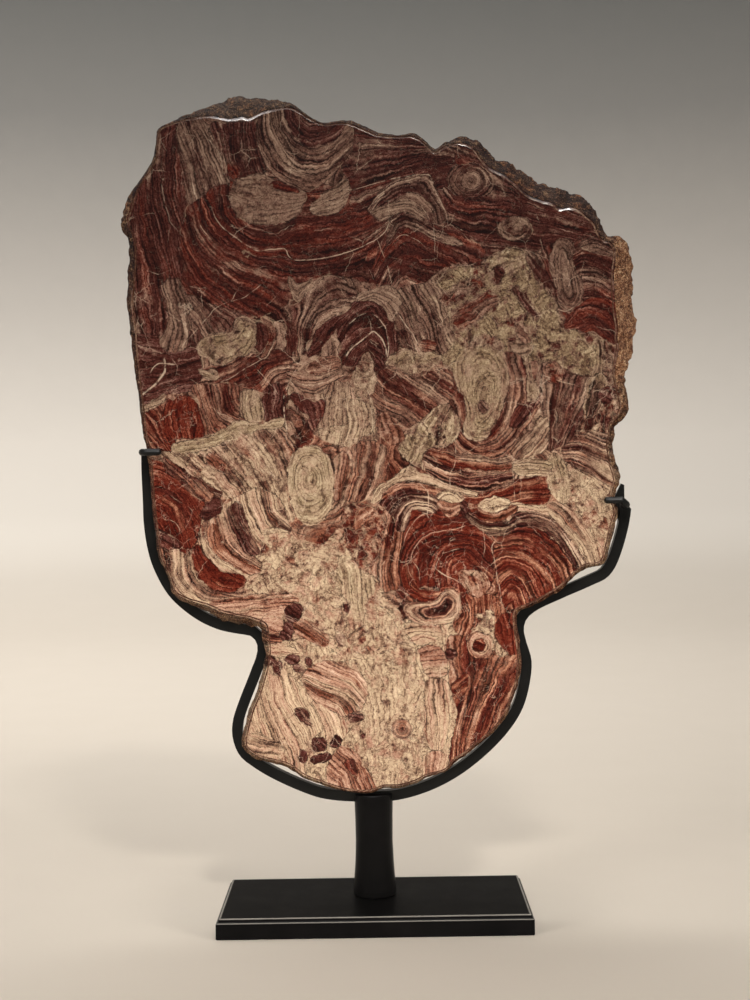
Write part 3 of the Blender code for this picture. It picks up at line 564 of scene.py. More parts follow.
addFold("orange-red wedge", 0.12, 1.15, 1, """191,552 198,545 205,556 214,566 228,572 245,577 243,588
    226,592 210,589 199,579 | 188,540 193,568 203,584 216,591 248,592 | 200,535 206,552 217,563 230,571
    250,578""")
addFold("grey-brown arc", 0.38, 0.2, 1.1, """228,508 237,502 244,517 250,533 257,543 259,555 248,554 238,542
    231,526 | 226,500 236,528 246,548 262,562 | 240,496 247,520 254,538 266,552""")
addFold("black foot of the fan", -0.1, 0.45, 0.9, """148,528 160,530 174,536 182,546 172,550 158,547 148,544
    | 145,530 184,548""")
addFold("pink beds", 0.68, 0.62, 1.2, """206,602 240,597 270,594 292,594 300,600 292,610 280,618 262,622
    240,616 218,612 | 200,600 240,598 270,594 304,594 | 200,612 240,612 270,608 304,606 | 220,624 262,624
    300,620""")
addFold("green-cream column", 1, 0.05, 1, """344,556 352,560 362,572 374,580 372,594 366,606 364,620 352,622
    348,606 340,590 330,578 336,566 | 336,550 346,585 350,626 | 352,550 362,585 362,626""", mess=0.3,
    olive=0.5)
addFold("left fan of the lobe", 0.84, 0.36, 1.6, """255,664 272,674 288,674 300,684 308,700 316,716 322,730
    312,738 304,750 306,775 290,785 235,760 235,720 248,690 | 250,680 254,705 262,730 270,760 | 262,668
    266,695 276,722 288,748 292,770 | 272,668 281,705 295,728 306,756 | 286,672 298,704 310,726 318,745 |
    302,672 312,700 326,730""")
addFold("neck strips", 0.4, 0.6, 1.1, """258,632 270,631 282,636 280,643 268,643 258,646 | 256,632 284,638 |
    256,640 284,644""")
addFold("neck pink beds", 0.66, 0.6, 1.2, """292,620 302,618 316,628 330,640 326,648 312,642 298,636 292,630
    | 286,620 308,632 330,648 | 292,610 314,624 336,642""")
addFold("tan cap", 0.82, 0.5, 0.9, """404,628 418,622 436,623 441,634 434,641 420,645 411,640 | 402,630
    424,626 442,632""")
addFold("tan column", 0.82, 0.42, 1, """426,680 446,680 450,700 448,730 440,752 428,745 424,720 426,700 |
    426,676 426,720 430,756 | 444,676 448,720 442,756""")
addFold("nested rings", 0.5, 0.6, 1.1, """467,640 474,633 484,632 492,640 492,650 486,657 474,657 468,650 |
    475,644 480,641 485,645 482,651 476,650 | 468,640 476,633 486,633 493,644 488,655 474,657 467,648""",
    rings=True)
addFold("bottom pink beds", 0.66, 0.7, 1.2, """328,762 334,752 342,745 352,750 362,762 372,778 378,792
    372,812 345,805 330,790 | 322,768 336,780 352,800 | 334,752 350,770 364,800 | 346,742 362,764
    376,796""")
addFold("orange chip", 0.4, 0.95, 1, """226,168 230,161 238,166 241,172 234,178 228,176 | 224,160
    234,180""")
addFold("fan's dark cup", 0.08, 0.3, 1, """284,105 303,106 318,116 340,118 345,128 336,138 322,145 308,146
    296,138 288,126 | 289,100 291,116 299,126 312,132 327,130 342,120 | 281,100 285,124 296,140 311,147
    328,143 346,128""")
addFold("pale core", 0.7, 0.4, 1, """230,188 238,180 250,176 264,175 276,180 292,188 307,195 300,206 298,215
    284,222 262,226 246,222 235,213 229,200 | 232,184 240,186 262,184 285,188 310,192 | 230,212 245,220
    262,224 285,220 305,210""", mess=0.35, busy=-0.6)
addFold("arch over the shard", 0.3, 0.2, 1.2, """366,211 372,201 382,190 393,181 408,176 430,176 434,186
    441,202 449,220 444,224 430,226 412,219 392,219 382,222 372,216 | 362,212 372,200 384,188 396,180
    410,175 430,175 440,195 450,222 | 372,216 380,205 392,196 402,190 412,190 424,198 434,212 438,224""")
addFold("grey roof of the dome", 0.36, 0.05, 1.2, """386,236 391,223 402,216 416,217 432,226 450,235 462,246
    448,244 432,238 418,231 405,227 396,232 388,244 | 385,234 392,221 402,214 416,215 432,223 456,233
    480,240 | 386,252 394,241 402,235 411,237 421,243 438,252 460,262""")
addFold("grey block at the right", 0.5, 0.12, 1.2, """580,243 590,239 606,242 613,248 611,256 598,255
    588,251 581,248 | 576,246 592,240 614,246 | 576,254 594,252 614,258""")
addFold("loops at the right", 0.46, 0.34, 1.1, """552,246 558,238 568,238 573,248 571,258 576,270 581,282
    583,296 578,309 568,313 560,305 556,290 551,275 549,260 | 562,252 566,262 570,280 571,296 567,300
    563,288 560,270 | 552,246 560,238 570,242 572,258 580,280 582,298 574,311 562,306 555,288 550,264""",
    rings=True)
addFold("tan strips above it", 0.55, 0.28, 1.1, """160,286 176,278 184,292 190,315 190,332 184,348 174,352
    166,350 160,342 166,330 168,312 163,298 | 158,282 166,310 168,332 160,352 | 172,276 180,305 186,330
    182,352""")
addFold("orange crescent", 0.42, 1.05, 1, """256,316 266,317 274,323 278,333 276,344 270,353 263,360 260,356
    265,346 267,335 264,326 | 254,318 264,326 268,337 264,350 258,358 | 262,312 273,320 279,334 275,348
    264,364""")
addFold("dark purple block", 0.04, 0.22, 0.9, """261,394 268,386 278,382 284,392 284,420 262,422 | 260,380
    264,425 | 284,380 284,425""")
addFold("small pale blob", 1, 0.05, 1, """199,370 207,372 214,369 219,375 217,381 210,381 204,376 | 198,368
    220,376 | 200,376 218,384""", olive=0.4)
addFold("nested strips", 0.4, 0.62, 1.25, """191,385 212,384 231,381 242,388 240,402 239,415 238,423 226,432
    210,441 204,430 198,405 | 188,384 194,405 200,425 206,444 | 201,384 207,405 214,425 222,438 | 211,384
    213,400 220,415 236,423 | 224,382 227,398 233,410 242,416""")
addFold("orange-brown piece", 0.45, 0.85, 1, """206,457 214,453 222,458 228,466 224,471 214,468 208,463 |
    204,452 228,468 | 204,462 222,474""")
addFold("purple fragment", 0, 0.1, 0.8, """202,508 209,501 217,497 222,503 221,512 214,518 206,522 200,517 |
    200,500 222,505 | 200,518 222,515""")
addFold("pink crescent", 0.62, 0.62, 1.1, """309,343 313,330 319,318 328,309 340,306 347,307 340,313 330,319
    319,329 | 306,346 312,326 326,309 350,304 | 310,346 320,328 334,316 350,309""")
addFold("cream cap", 0.92, 0.16, 0.9, """356,300 361,292 372,290 382,285 394,289 402,301 399,312 391,321
    385,312 379,305 371,300 362,300 | 352,300 366,288 384,284 402,296 | 360,304 374,300 386,310 392,324""")
addFold("black heart of the dome", -0.3, 0, 0.9, """366,345 372,339 379,344 385,353 385,364 378,369 374,360
    370,351 | 364,344 384,356 | 362,354 380,370""")
addFold("orange lens", 0.36, 1.1, 1, """304,368 310,362 320,358 335,356 342,361 340,368 330,372 316,375
    307,373 | 302,366 320,358 342,356 | 304,374 320,374 342,368""")
addFold("dark shapes", 0.08, 0.48, 1, """290,394 298,393 306,398 316,401 324,400 324,412 318,424 312,431
    307,424 312,414 302,412 294,404 | 288,396 305,405 312,430 | 300,390 318,404 320,430""")
addFold("rusty beds", 0.36, 0.85, 1, """418,342 427,339 437,343 434,350 424,353 418,349 | 416,340 438,346 |
    416,350 436,356""")
addFold("cream blotch", 0.86, 0.1, 0.8, """383,364 393,353 405,348 416,352 430,354 442,357 437,367 425,373
    412,375 398,369 | 380,356 410,350 444,354 | 380,372 410,374 444,368""", mess=0.6, olive=0.6)
addFold("salmon patch", 0.66, 0.8, 0.8, """376,418 386,411 395,419 403,431 405,440 393,444 383,440 377,430 |
    374,412 382,442 | 394,412 404,442""", mess=0.3)
addFold("pink strips", 0.62, 0.66, 1.1, """334,458 343,450 349,456 349,470 344,486 340,498 333,501 334,486
    335,470 | 334,450 334,480 330,505 | 350,448 348,475 340,505""")
addFold("orange-brown wedge", 0.46, 0.9, 0.9, """353,529 354,518 360,508 368,504 375,511 372,520 362,526 |
    350,520 372,504 | 354,532 376,518""")
addFold("cream blob", 1.05, 0.12, 0.7, """507,344 515,341 526,345 533,343 532,350 527,356 519,355 511,350 |
    505,342 520,345 534,342 | 508,350 520,356 532,352""")
addFold("brown spots over the oval", 0.34, 0.42, 0.9, """464,346 472,338 484,334 496,337 505,346 500,351
    488,346 474,347 | 462,346 482,334 506,346""", mess=0.7)
addFold("spot in the oval", 0.34, 0.14, 0.8, """477,404 482,400 488,404 488,410 482,414 477,410 | 476,400
    490,414""", olive=0.5)
addFold("pale crack band", 0.66, 0, 1.2, """522,357 530,355 532,368 535,384 539,394 533,402 527,402 527,388
    525,372 | 522,352 527,378 528,404 | 532,352 535,380 538,404""", mess=0.5, olive=0.3)
addFold("orange-brown top", 0.34, 0.8, 1, """545,368 553,361 562,367 563,378 554,385 546,378 | 544,362
    564,384""", mess=0.4)
addFold("grey-olive lens", 0.6, 0.08, 0.7, """590,376 598,371 607,379 607,392 603,404 597,413 588,419
    583,408 586,392 | 594,368 586,395 584,420 | 608,376 604,400 594,418""", olive=0.8)
addFold("dark red patch", 0.02, 0.62, 1, """562,327 567,316 575,307 583,301 592,297 605,299 618,304 620,326
    624,342 615,346 606,341 599,335 591,332 583,334 575,328 566,330 | 560,322 574,306 592,297 612,304
    626,330 | 560,334 578,322 594,318 608,330 622,350""")
addFold("red band in the stack", 0.26, 0.95, 1.1, """430,452 445,454 462,460 482,462 500,465 513,463 513,469
    495,471 470,470 450,467 436,460 | 426,452 460,460 490,463 516,462 | 426,460 456,470 490,472 516,470""")
addFold("cream arc", 1, 0.2, 1.1, """369,505 374,493 382,484 391,479 401,471 410,466 418,472 431,477 446,484
    461,488 475,492 478,496 462,494 446,490 430,486 415,481 400,482 388,488 379,499 374,504 | 364,505
    374,488 392,476 410,468 430,474 455,484 480,492 | 372,510 382,494 396,484 414,481 434,488 460,495
    480,498""")
addFold("droplet", 0.52, 0.92, 0.9, """437,503 445,500 458,501 463,505 457,513 450,518 442,513 | 434,502
    450,506 466,502 | 436,512 450,519 462,512""")
addFold("blue sliver", 0.16, 0, 1.1, """460,499 466,503 471,512 478,520 472,522 464,514 | 458,498
    478,522""")
addFold("cream lens", 0.98, 0.04, 0.8, """477,506 484,500 495,498 506,500 510,503 502,508 492,512 483,511 |
    474,504 494,498 512,502 | 476,510 494,514 510,506""", olive=0.3)
addFold("striped arc", 0.44, 0.14, 1.6, """466,514 472,513 481,520 495,523 510,518 522,513 538,514 552,520
    565,532 575,545 584,560 582,572 575,568 566,553 555,539 542,530 528,527 515,529 502,535 488,534 475,527
    | 460,506 470,514 481,521 496,524 510,519 523,513 539,514 553,521 566,533 577,548 588,566 | 460,514
    474,527 488,534 502,535 515,529 529,526 543,530 556,540 567,555 576,574""", busy=1.3)
addFold("red hem", 0.22, 1.05, 1, """402,566 410,564 412,578 420,588 434,592 448,586 458,592 446,598 428,602
    412,598 403,586 | 400,560 402,582 412,596 430,602 460,594 | 410,560 413,578 422,588 436,590 460,584""")
addFold("red streaks", 0.34, 0.92, 1.3, """458,592 474,598 488,594 498,598 506,610 522,612 522,640 505,640
    494,626 480,624 468,634 456,632 452,622 462,612 | 456,588 464,608 456,640 | 474,590 478,612 470,644 |
    490,588 490,612 492,644 | 504,596 506,616 512,644""")
addFold("pale column", 0.95, 0.1, 1, """546,478 548,458 554,452 561,456 567,467 571,481 572,496 566,504
    557,500 550,490 | 548,448 556,475 560,506 | 562,450 570,478 572,508""", mess=0.3, olive=0.5)
addFold("rusty arc", 0.46, 0.85, 1.2, """206,530 212,522 219,524 223,540 233,554 247,563 262,570 250,574
    236,568 220,558 210,545 | 202,525 208,548 217,560 230,569 250,578 | 216,515 222,540 233,555 248,564
    266,572""")
addFold("grey ovoid", 0.56, 0.3, 0.9, """378,600 387,592 397,594 401,603 394,611 384,607 | 376,592 402,600 |
    376,606 400,614""")
addFold("dark chip", 0, 0.3, 0.9, """284,613 290,605 298,602 302,610 298,619 288,621 | 282,604 302,618""")
addFold("pale left foot", 0.8, 0.25, 1, """244,738 256,732 272,738 284,748 278,757 262,756 246,750 | 244,734
    284,744 | 244,752 282,758""")
addFold("dark-lined pink beds", 0.7, 0.55, 1.5, """304,672 316,664 330,660 346,664 362,676 368,690 362,704
    356,714 346,716 336,712 322,706 310,696 303,684 | 300,684 322,696 340,706 350,722 | 300,672 320,681
    345,690 360,706 | 312,658 338,666 360,680 374,700""", busy=0.8)
addFold("flat chip", 0.02, 0.25, 0.8, """309,760 315,754 328,753 332,757 325,763 313,765 | 308,762
    332,756""")
addFold("cream wedge at the neck", 0.9, 0.25, 1, """263,648 275,643 290,646 302,655 296,660 282,656 266,656
    | 262,648 302,652""")
addFold("grey oval", 0.36, 0.12, 0.9, """336,634 342,632 347,638 345,646 339,649 335,642 | 336,632
    346,648""")
addFold("dark slit", 0.1, 0.25, 0.9, """344,604 349,604 349,616 345,618 | 346,602 347,618""")
addFold("orange-tan pair", 0.74, 0.65, 0.9, """418,650 432,645 442,650 447,664 446,676 436,680 426,676
    420,664 | 416,656 446,652 | 418,672 448,670""")
addFold("pink foot", 0.76, 0.55, 1.1, """424,756 436,750 448,756 446,772 430,780 422,772 | 424,750 426,784 |
    444,750 442,782""")
addFold("salmon lens", 0.5, 1, 0.9, """452,692 454,683 459,677 465,673 470,677 470,686 463,694 456,698 |
    452,690 468,676""")
addFold("pale wedge", 0.82, 0.2, 1, """310,206 318,198 332,188 346,178 350,190 346,204 336,212 320,216
    311,213 | 305,200 330,190 350,178 | 305,216 330,214 352,200""")
addFold("dark red lens", 0.05, 0.85, 1, """265,183 275,181 288,186 300,191 288,192 275,188 | 262,182 282,186
    302,192""")
addFold("pale shard", 1.1, 0.05, 1.4, """369,211 380,208 392,203 402,199 412,202 420,207 426,214 421,220
    412,213 400,212 390,216 381,221 374,215 | 366,208 390,198 405,196 425,206 | 370,222 392,214 410,212
    425,222""")
addFold("speckled ovoid", 0.8, 0.06, 0.8, """231,330 234,322 240,317 250,319 256,325 258,337 255,348 248,354
    238,358 229,362 222,367 213,363 206,358 199,355 196,347 200,340 210,335 222,333 | 215,350 235,340
    245,330 248,340 235,350 222,358 | 231,330 240,317 252,320 258,337 250,353 222,367 198,354 200,340""",
    mess=0.35, olive=0.6, rings=True)
addFold("pale sliver", 0.66, 0.36, 1, """138,406 150,403 158,398 166,393 167,397 160,404 150,409 139,413 |
    136,406 155,400 168,392 | 138,413 156,407 168,398""")
addFold("olive block", 0.72, 0.14, 1, """240,392 250,388 258,391 262,400 263,421 246,422 240,413 | 240,385
    242,425 | 262,385 263,425""", olive=0.5)
addFold("black wedge", -0.25, 0.1, 0.9, """306,350 311,338 321,327 333,317 345,311 353,301 360,303 351,313
    343,322 336,331 328,342 318,352 309,357 | 304,350 322,326 346,310 360,296 | 308,362 330,342 346,322
    364,306""")
addFold("plume", 0.66, 0.4, 1.2, """365,350 370,354 374,366 376,380 371,394 364,398 356,397 352,388 351,376
    356,366 361,358 | 352,350 356,375 352,400 | 370,350 372,375 368,400""", mess=0.7)
addFold("pink lens", 0.56, 0.8, 1, """290,365 296,361 303,364 303,370 296,372 290,370 | 288,362 304,364 |
    288,372 304,372""")
addFold("dark spot", -0.1, 0, 0.7, """599,396 602,388 610,386 619,389 613,396 610,404 603,403 | 598,390
    618,400""")
addFold("cream bands", 0.94, 0.08, 1.2, """513,463 528,458 542,459 551,464 551,476 536,476 520,475 513,472 |
    510,462 532,458 554,462 | 510,474 532,476 554,478""", olive=0.4)
addFold("orange band", 0.46, 1, 1, """381,497 390,487 404,483 420,484 434,489 444,496 430,494 415,490
    400,490 388,497 | 380,494 402,482 424,484 446,494 | 384,502 402,491 424,492 442,500""")
addFold("grey cap", 0.74, 0, 0.9, """435,497 442,492 450,489 458,494 465,500 458,502 445,500 | 432,498
    450,489 466,500""")
addFold("orange lens under it", 0.48, 1, 1, """470,505 476,509 485,513 495,514 505,511 512,506 517,509
    508,517 495,521 483,520 474,514 | 468,504 486,514 506,511 520,504 | 468,512 486,522 510,518 524,510""")
addFold("pink foot of the dome", 0.62, 0.72, 1.2, """458,572 468,570 480,573 490,580 487,592 476,596 464,588
    | 456,566 470,578 478,598 | 474,566 484,580 488,598""", mess=0.4)
addFold("folded loop", 0.44, 0.42, 1.4, """402,604 420,602 436,600 443,592 452,589 460,598 460,612 452,621
    432,624 414,622 405,614 | 425,610 440,607 447,600 451,604 446,612 430,615 | 404,606 436,601 448,590
    459,600 456,618 430,623 408,618""", busy=0.8, rings=True)
addFold("deep red block", 0.06, 1, 0.9, """494,626 501,617 509,613 519,613 521,640 516,656 506,651 497,640 |
    492,620 500,640 506,660 | 510,606 514,630 518,660""")
addFold("square chip", 0.02, 0.25, 0.8, """313,740 319,738 326,738 325,748 322,753 314,751 | 312,738
    326,752""")
addFold("grey pair", 0.3, 0.2, 0.9, """348,714 356,713 364,714 362,721 350,723 | 346,716 364,721""")
addFold("dark wedge", 0.22, 0.1, 0.9, """294,709 304,707 308,716 312,725 306,727 299,719 | 294,708
    312,726""")
addFold("neck chip", 0.02, 0.3, 0.8, """261,657 268,655 276,658 275,666 266,667 261,664 | 260,658
    276,664""")
addFold("middle neck chip", 0.06, 0.35, 0.8, """284,660 290,656 298,657 298,663 288,664 | 284,658
    298,662""")
addFold("last neck chip", 0.06, 0.3, 0.8, """305,657 310,659 310,667 306,665 | 306,656 308,668""")
addFold("dark block", 0, 0.3, 0.9, """281,624 288,622 293,630 290,640 282,639 | 280,626 292,636""")
addFold("orange-red blob", 0.34, 1.1, 0.9, """472,646 476,641 483,641 486,647 481,652 474,651 | 470,644
    488,650""")
addFold("dark knot", -0.1, 0.3, 0.9, """445,651 450,649 455,653 452,658 446,657 | 444,652 456,656""")
addFold("brown streaks", 0.1, 0.7, 1, """345,764 350,761 358,770 357,778 350,774 | 345,762 358,778""")
addFold("pink streak", 0.92, 0.45, 1.3, """405,193 412,192 421,197 429,205 434,213 428,213 417,206 408,199 |
    402,192 418,196 434,212 | 400,198 416,206 430,218""")
addFold("green streak", 0.92, 0.05, 0.9, """170,446 186,442 205,437 222,429 238,421 262,422 284,417 282,427
    262,429 246,435 228,442 204,449 176,454 | 168,444 205,436 240,420 284,415 | 170,456 206,450 240,438
    284,430""", mess=0.3, olive=0.7)
addFold("second square chip", 0.02, 0.25, 0.8, """330,738 337,734 343,739 341,745 332,747 | 328,736
    344,746""")
addFold("upright chip", 0.06, 0.25, 0.8, """300,750 306,750 307,762 301,763 | 302,748 304,764""")
addFold("lone spot", 0.1, 0.3, 0.9, """360,733 365,733 366,738 361,739 | 360,733 366,738""")
addFold("grey-brown neck chip", 0.3, 0.15, 0.8, """272,664 282,661 283,670 280,676 273,674 | 272,664
    284,672""")
addFold("right neck chip", 0.15, 0.25, 0.8, """292,666 298,664 304,667 303,672 295,671 | 292,666 304,670""")
addFold("orange-tan block", 0.66, 0.7, 0.9, """263,616 281,614 282,630 264,631 | 262,620 284,624""")
addFold("grey-pink network", 0.72, 0.3, 1, """477,614 486,611 495,616 493,630 484,634 478,626 | 476,616
    494,626""", mess=0.8)

addVein("great white line", 2, """212,210 220,225 232,235 245,245 258,250 285,249 289,256 297,260 330,257
    345,253 360,247 375,240 385,232 390,222""")
addVein("long straight vein", 1.2, "181,347 205,320 220,305 234,300 245,297 262,282")
addVein("its short mate", 1, "230,302 237,291")
addVein("left hook", 1.2, "150,272 158,274 165,272")
addVein("line over the shard", 1.4, "345,190 358,188 372,184 395,178 430,176 431,182")
addVein("line right of the bowl", 1.2, "392,242 401,235 412,238 424,246")
addVein("upright hair", 1, "434,225 434,260")
addVein("crack under the belt", 1.2, "377,240 386,262 392,285")
addVein("cream vein", 4, "163,355 164,372 158,380 148,390 139,397")
addVein("cream branch", 2.5, "150,373 158,364 176,364")
addVein("slant under the blotch", 1.4, "262,360 252,364 235,375 220,383")
addVein("fork", 1.4, "276,335 270,350 262,360 254,354")
addVein("falling line", 1.2, "255,368 268,382 275,390 280,400")
addVein("white-green line", 2.5, "289,382 284,395 284,410 286,425 286,436")
addVein("outer dome arc", 2.4, "348,325 357,318 368,313 376,316 384,326 388,340 388,358")
addVein("inner dome arc", 3, "344,362 348,353 356,344 366,337 372,331 378,335 384,343 387,356")
addVein("dome's spur", 1.4, "367,315 370,322 371,331")
addVein("line under the dome", 1.4, "366,388 370,400 372,420 374,432")
addVein("line right of the dome", 2, "397,313 405,325 413,335 418,345")
addVein("winding crack", 2,
    "350,447 352,458 351,470 345,485 341,497 348,501 357,502 367,505 378,510 384,525 380,545", light=0)
addVein("blue crack under the oval", 3,
    "340,500 338,515 330,527 320,536 308,536 295,532 285,523 278,519", light=0)
addVein("vein through the stack", 1.4, "455,440 455,462 450,475 449,490")
addVein("second vein of the stack", 1.2, "513,470 514,500")
addVein("vein into the swirl", 1.6, "419,483 427,492 428,505 427,515 432,523")
addVein("its left branch", 1.6, "427,513 415,520 408,530 403,545")
addVein("arch of the swirl", 1.6, "412,570 412,553 420,541 432,533 450,530 468,525")
addVein("left of the swirl", 1.4, "412,560 398,562 388,558 380,566")
addVein("foot of the arch", 1.4, "412,562 418,570 419,580")
addVein("inner arch", 1.4, "434,568 440,556 450,551 462,548")
addVein("white spur", 2.5, "434,568 445,576 458,582")
addVein("long upright in the swirl", 1.8, "495,540 491,548 495,560 497,575 500,590 502,602")
addVein("thin upright in the swirl", 1.2, "482,527 484,545 481,570")
addVein("right hair", 1.2, "540,374 552,378 562,382 575,385")
addVein("second right hair", 1.2, "543,400 550,405 556,411 556,425")
addVein("upper right line", 1.4, "548,305 556,308 565,311 575,306")
addVein("crack down the lobe", 2,
    "378,604 390,615 398,628 410,637 415,647 416,659 422,675 426,686", light=0)
addVein("crack over the tan pair", 1.4, "416,647 432,643 441,644 449,648", light=0)
addVein("crack beside the red side", 1.6, "443,649 447,665 448,688 451,706", light=0)
addVein("upper black bed line", 2, "310,677 327,685 349,691 357,698", light=0)
addVein("lower black bed line", 2, "310,685 325,692 341,699 347,710", light=0)
addVein("dark slant", 1.4, "303,567 315,575 330,578 338,582", light=0)
addVein("pink thread", 1.2, "396,645 392,665 398,688", light=0.6)
addVein("flank line", 2, "161,182 164,200 168,215 170,222 176,229 181,235", light=0.6)
addVein("left shelf line", 1.4, "168,520 175,522 180,530 177,535")
addVein("border of the grey block", 2.5, "207,138 214,147 219,155 222,165 224,172 228,181", light=0.7)
addVein("streak of the shard", 1.6, "371,207 378,199 386,191 391,187")
addVein("second streak", 1.6, "440,205 445,212 447,220")
addVein("third streak", 1.4, "450,225 458,228 468,235")

# What the broken rim is covered with: a place in the picture, its reach across and down, and how much ochre,
# rust and dark there is. On the left shelf the dark is painted shade on the rim's underside above the bar.
crusts = [
    ((240, 106), (60, 20), (0.2, 0.5, 0.55)),  # top left break
    ((370, 120), (80, 15), (0.1, 0.2, 0.6)),  # top edge
    ((550, 178), (70, 30), (0.15, 0.65, 0.55)),  # top right break
    ((598, 222), (12, 14), (0.3, 0.3, 0.8)),  # right shoulder
    ((628, 290), (22, 50), (1, 0.15, 0.1)),  # speckled rind
    ((624, 358), (14, 16), (1.1, 0.4, 0)),  # tan patch
    ((622, 405), (18, 26), (0.55, 0.45, 0.35)),  # lower rind
    ((614, 490), (22, 70), (0.45, 0.3, 0.4)),  # right foot
    ((125, 270), (20, 90), (0.15, 0.2, 0.85)),  # left strip
    ((128, 210), (8, 14), (0.8, 0.35, 0.1)),  # left pink patch
    ((150, 500), (25, 90), (0.2, 0.25, 0.7)),  # left foot
    ((225, 616), (50, 16), (0.2, 0.4, 0.8)),  # left shelf, its dark painted shade on the underside above the bar
]
crustLeast = 0.15  # weight of bare rock, beside the crusts


# Distance from each place to a line, in millimetres: above 0 on the right of an open line or outside a
# closed one. It is the length to the nearest stretch, and the side comes from that stretch or, for a closed
# line, from how many stretches lie to the right of the place.
def distanceTo(places, line, closed):
    start = line if closed else line[:-1]
    end = np.roll(line, -1, axis=0) if closed else line[1:]
    step = end - start
    apart = places[:, None] - start
    share = np.clip((apart * step).sum(axis=2) / (step**2).sum(axis=1), 0, 1)
    gap = apart - share[..., None] * step
    away = np.hypot(gap[..., 0], gap[..., 1])
    nearest = away.argmin(axis=1)
    row = np.arange(len(places))
    if closed:
        across, up = places[:, :1], places[:, 1:]
        slope = step[:, 0] / np.where(step[:, 1] == 0, 1e-9, step[:, 1])
        reached = start[:, 0] + (up - start[:, 1]) * slope
        crossing = ((start[:, 1] > up) != (end[:, 1] > up)) & (across < reached)
        side = 1 - 2 * (crossing.sum(axis=1) % 2)
    else:
        chosen = apart[row, nearest]
        side = np.where(chosen[:, 0] * step[nearest, 1] > chosen[:, 1] * step[nearest, 0], 1, -1)
    return away[row, nearest] * side


# Pixels as a smooth line on the face in millimetres.
def faceLine(pixels, closed, spacing):
    length = np.hypot(*np.diff(pixels, axis=0).T).sum() * picture["facePixel"] * 1000
    return toPlane(smoothCurve(pixels, max(int(length / spacing), 10), closed)) * 1000


# Which places lie within reach of the box round a line.
def placesNear(places, line, reach):
    inside = (places > line.min(axis=0) - reach) & (places < line.max(axis=0) + reach)
    return np.flatnonzero(inside.all(axis=1))


# How far each place is along the stack of beds, in millimetres: between two neighbouring bed lines it is
# shared out by the distances to both, so each bed line keeps one value from end to end.
def bedHeight(places, beds, closed):
    lines = [faceLine(pixels, closed, bedding["bedSpacing"]) for pixels in beds]
    middles = [line[len(line) // 2][None] for line in lines]
    heights = []
    for k, line in enumerate(lines):
        if not closed:
            ends = [line[0] + (line[0] - line[1]) * 60, line[-1] + (line[-1] - line[-2]) * 60]
            line = np.vstack([ends[:1], line, ends[1:]])
        height = distanceTo(places, line, closed)
        if not closed and len(lines) > 1:
            other = middles[k + 1] if k + 1 < len(lines) else middles[k - 1]
            turned = distanceTo(other, line, False)[0] * (1 if k + 1 < len(lines) else -1)
            height = height * np.sign(turned)
        heights.append(height)
    total = np.minimum(heights[0], 0) + np.maximum(heights[-1], 0)
    for k in range(len(lines) - 1):
        low, high = heights[k], heights[k + 1]
        between = np.clip(low / np.where(low - high == 0, 1e-9, low - high), 0, 1)
        between = np.select([high >= 0, low <= 0], [1, 0], between)
        total = total + between * abs(distanceTo(lines[k + 1], lines[k], closed)).mean()
    return total


# Whether two folds overlap or come closer than the gap.
def foldsMeet(edge, other):
    return (abs(distanceTo(edge, other, True)).min() < bedding["foldGap"]
            or distanceTo(edge[:1], other, True)[0] < 0 or distanceTo(other[:1], edge, True)[0] < 0)


# The folds as sheets of vertex values. A fold goes one sheet above every earlier fold that it meets, so
# folds on one sheet lie apart. A sheet holds bed height, distance inside the edge, paleness and redness.
def foldSheets(places):
    sheets, owners = [], []
    mixture = np.zeros((len(places), 4))
    width, atEdge = bedding["softEdge"]
    for number, fold in enumerate(folds.values()):
        edge = faceLine(fold["edge"], True, bedding["edgeSpacing"])
        near = placesNear(places, edge, bedding["foldReach"])
        inside = -distanceTo(places[near], edge, True)
        height = bedHeight(places[near], fold["beds"], fold["rings"])
        height = height * fold["fine"] + bedding["ownBeds"] * (number + 1)
        met = [k for k, sheet in enumerate(owners) if any(foldsMeet(edge, other) for other in sheet)]
        level = max(met, default=-1) + 1
        if level == len(sheets):
            sheets.append(np.tile([0.0, -9.0, 0.3, 0.4], (len(places), 1)))
            owners.append([])
        owners[level].append(edge)
        closer = inside > sheets[level][near, 1]
        same = np.ones(len(near))
        own = np.column_stack([height, inside, same * fold["pale"], same * fold["red"]])
        sheets[level][near[closer]] = own[closer]
        cover = np.clip(inside / width + atEdge, 0, 1)[:, None]
        mixture[near] = mixture[near] * (1 - cover) + np.array(fold["kind"]) * cover
    return sheets, mixture


# Distance between two veins.
def veinsApart(line, other):
    return abs(distanceTo(line, other, False)).min()


# The veins as sheets: distance to the line, how far the vein still runs there, half its width, its light.
# A vein goes on the first sheet whose veins all lie further off than the gap.
def veinSheets(places):
    sheets, owners = [], []
    for vein in veins.values():
        line = faceLine(vein["path"], False, bedding["veinSpacing"])
        near = placesNear(places, line, bedding["veinReach"])
        side = distanceTo(places[near], line, False)
        free = [min(veinsApart(line, other) for other in sheet) >= bedding["veinGap"] for sheet in owners]
        level = [*free, True].index(True)
        if level == len(sheets):
            sheets.append(np.tile([9.0, 0.0, 0.0, 0.0], (len(places), 1)))
            owners.append([])
        owners[level].append(line)
        toEnds = [np.linalg.norm(places[near] - end, axis=1) for end in (line[0], line[-1])]
        taper = np.clip(np.minimum(*toEnds) / bedding["taper"], 0, 1)
        closer = abs(side) < abs(sheets[level][near, 0])
        same = np.ones(len(near))
        halfWidth = vein["wide"] * picture["facePixel"] * 1000 / 2
        own = np.column_stack([side, taper, same * halfWidth, same * vein["light"]])
        sheets[level][near[closer]] = own[closer]
    return sheets


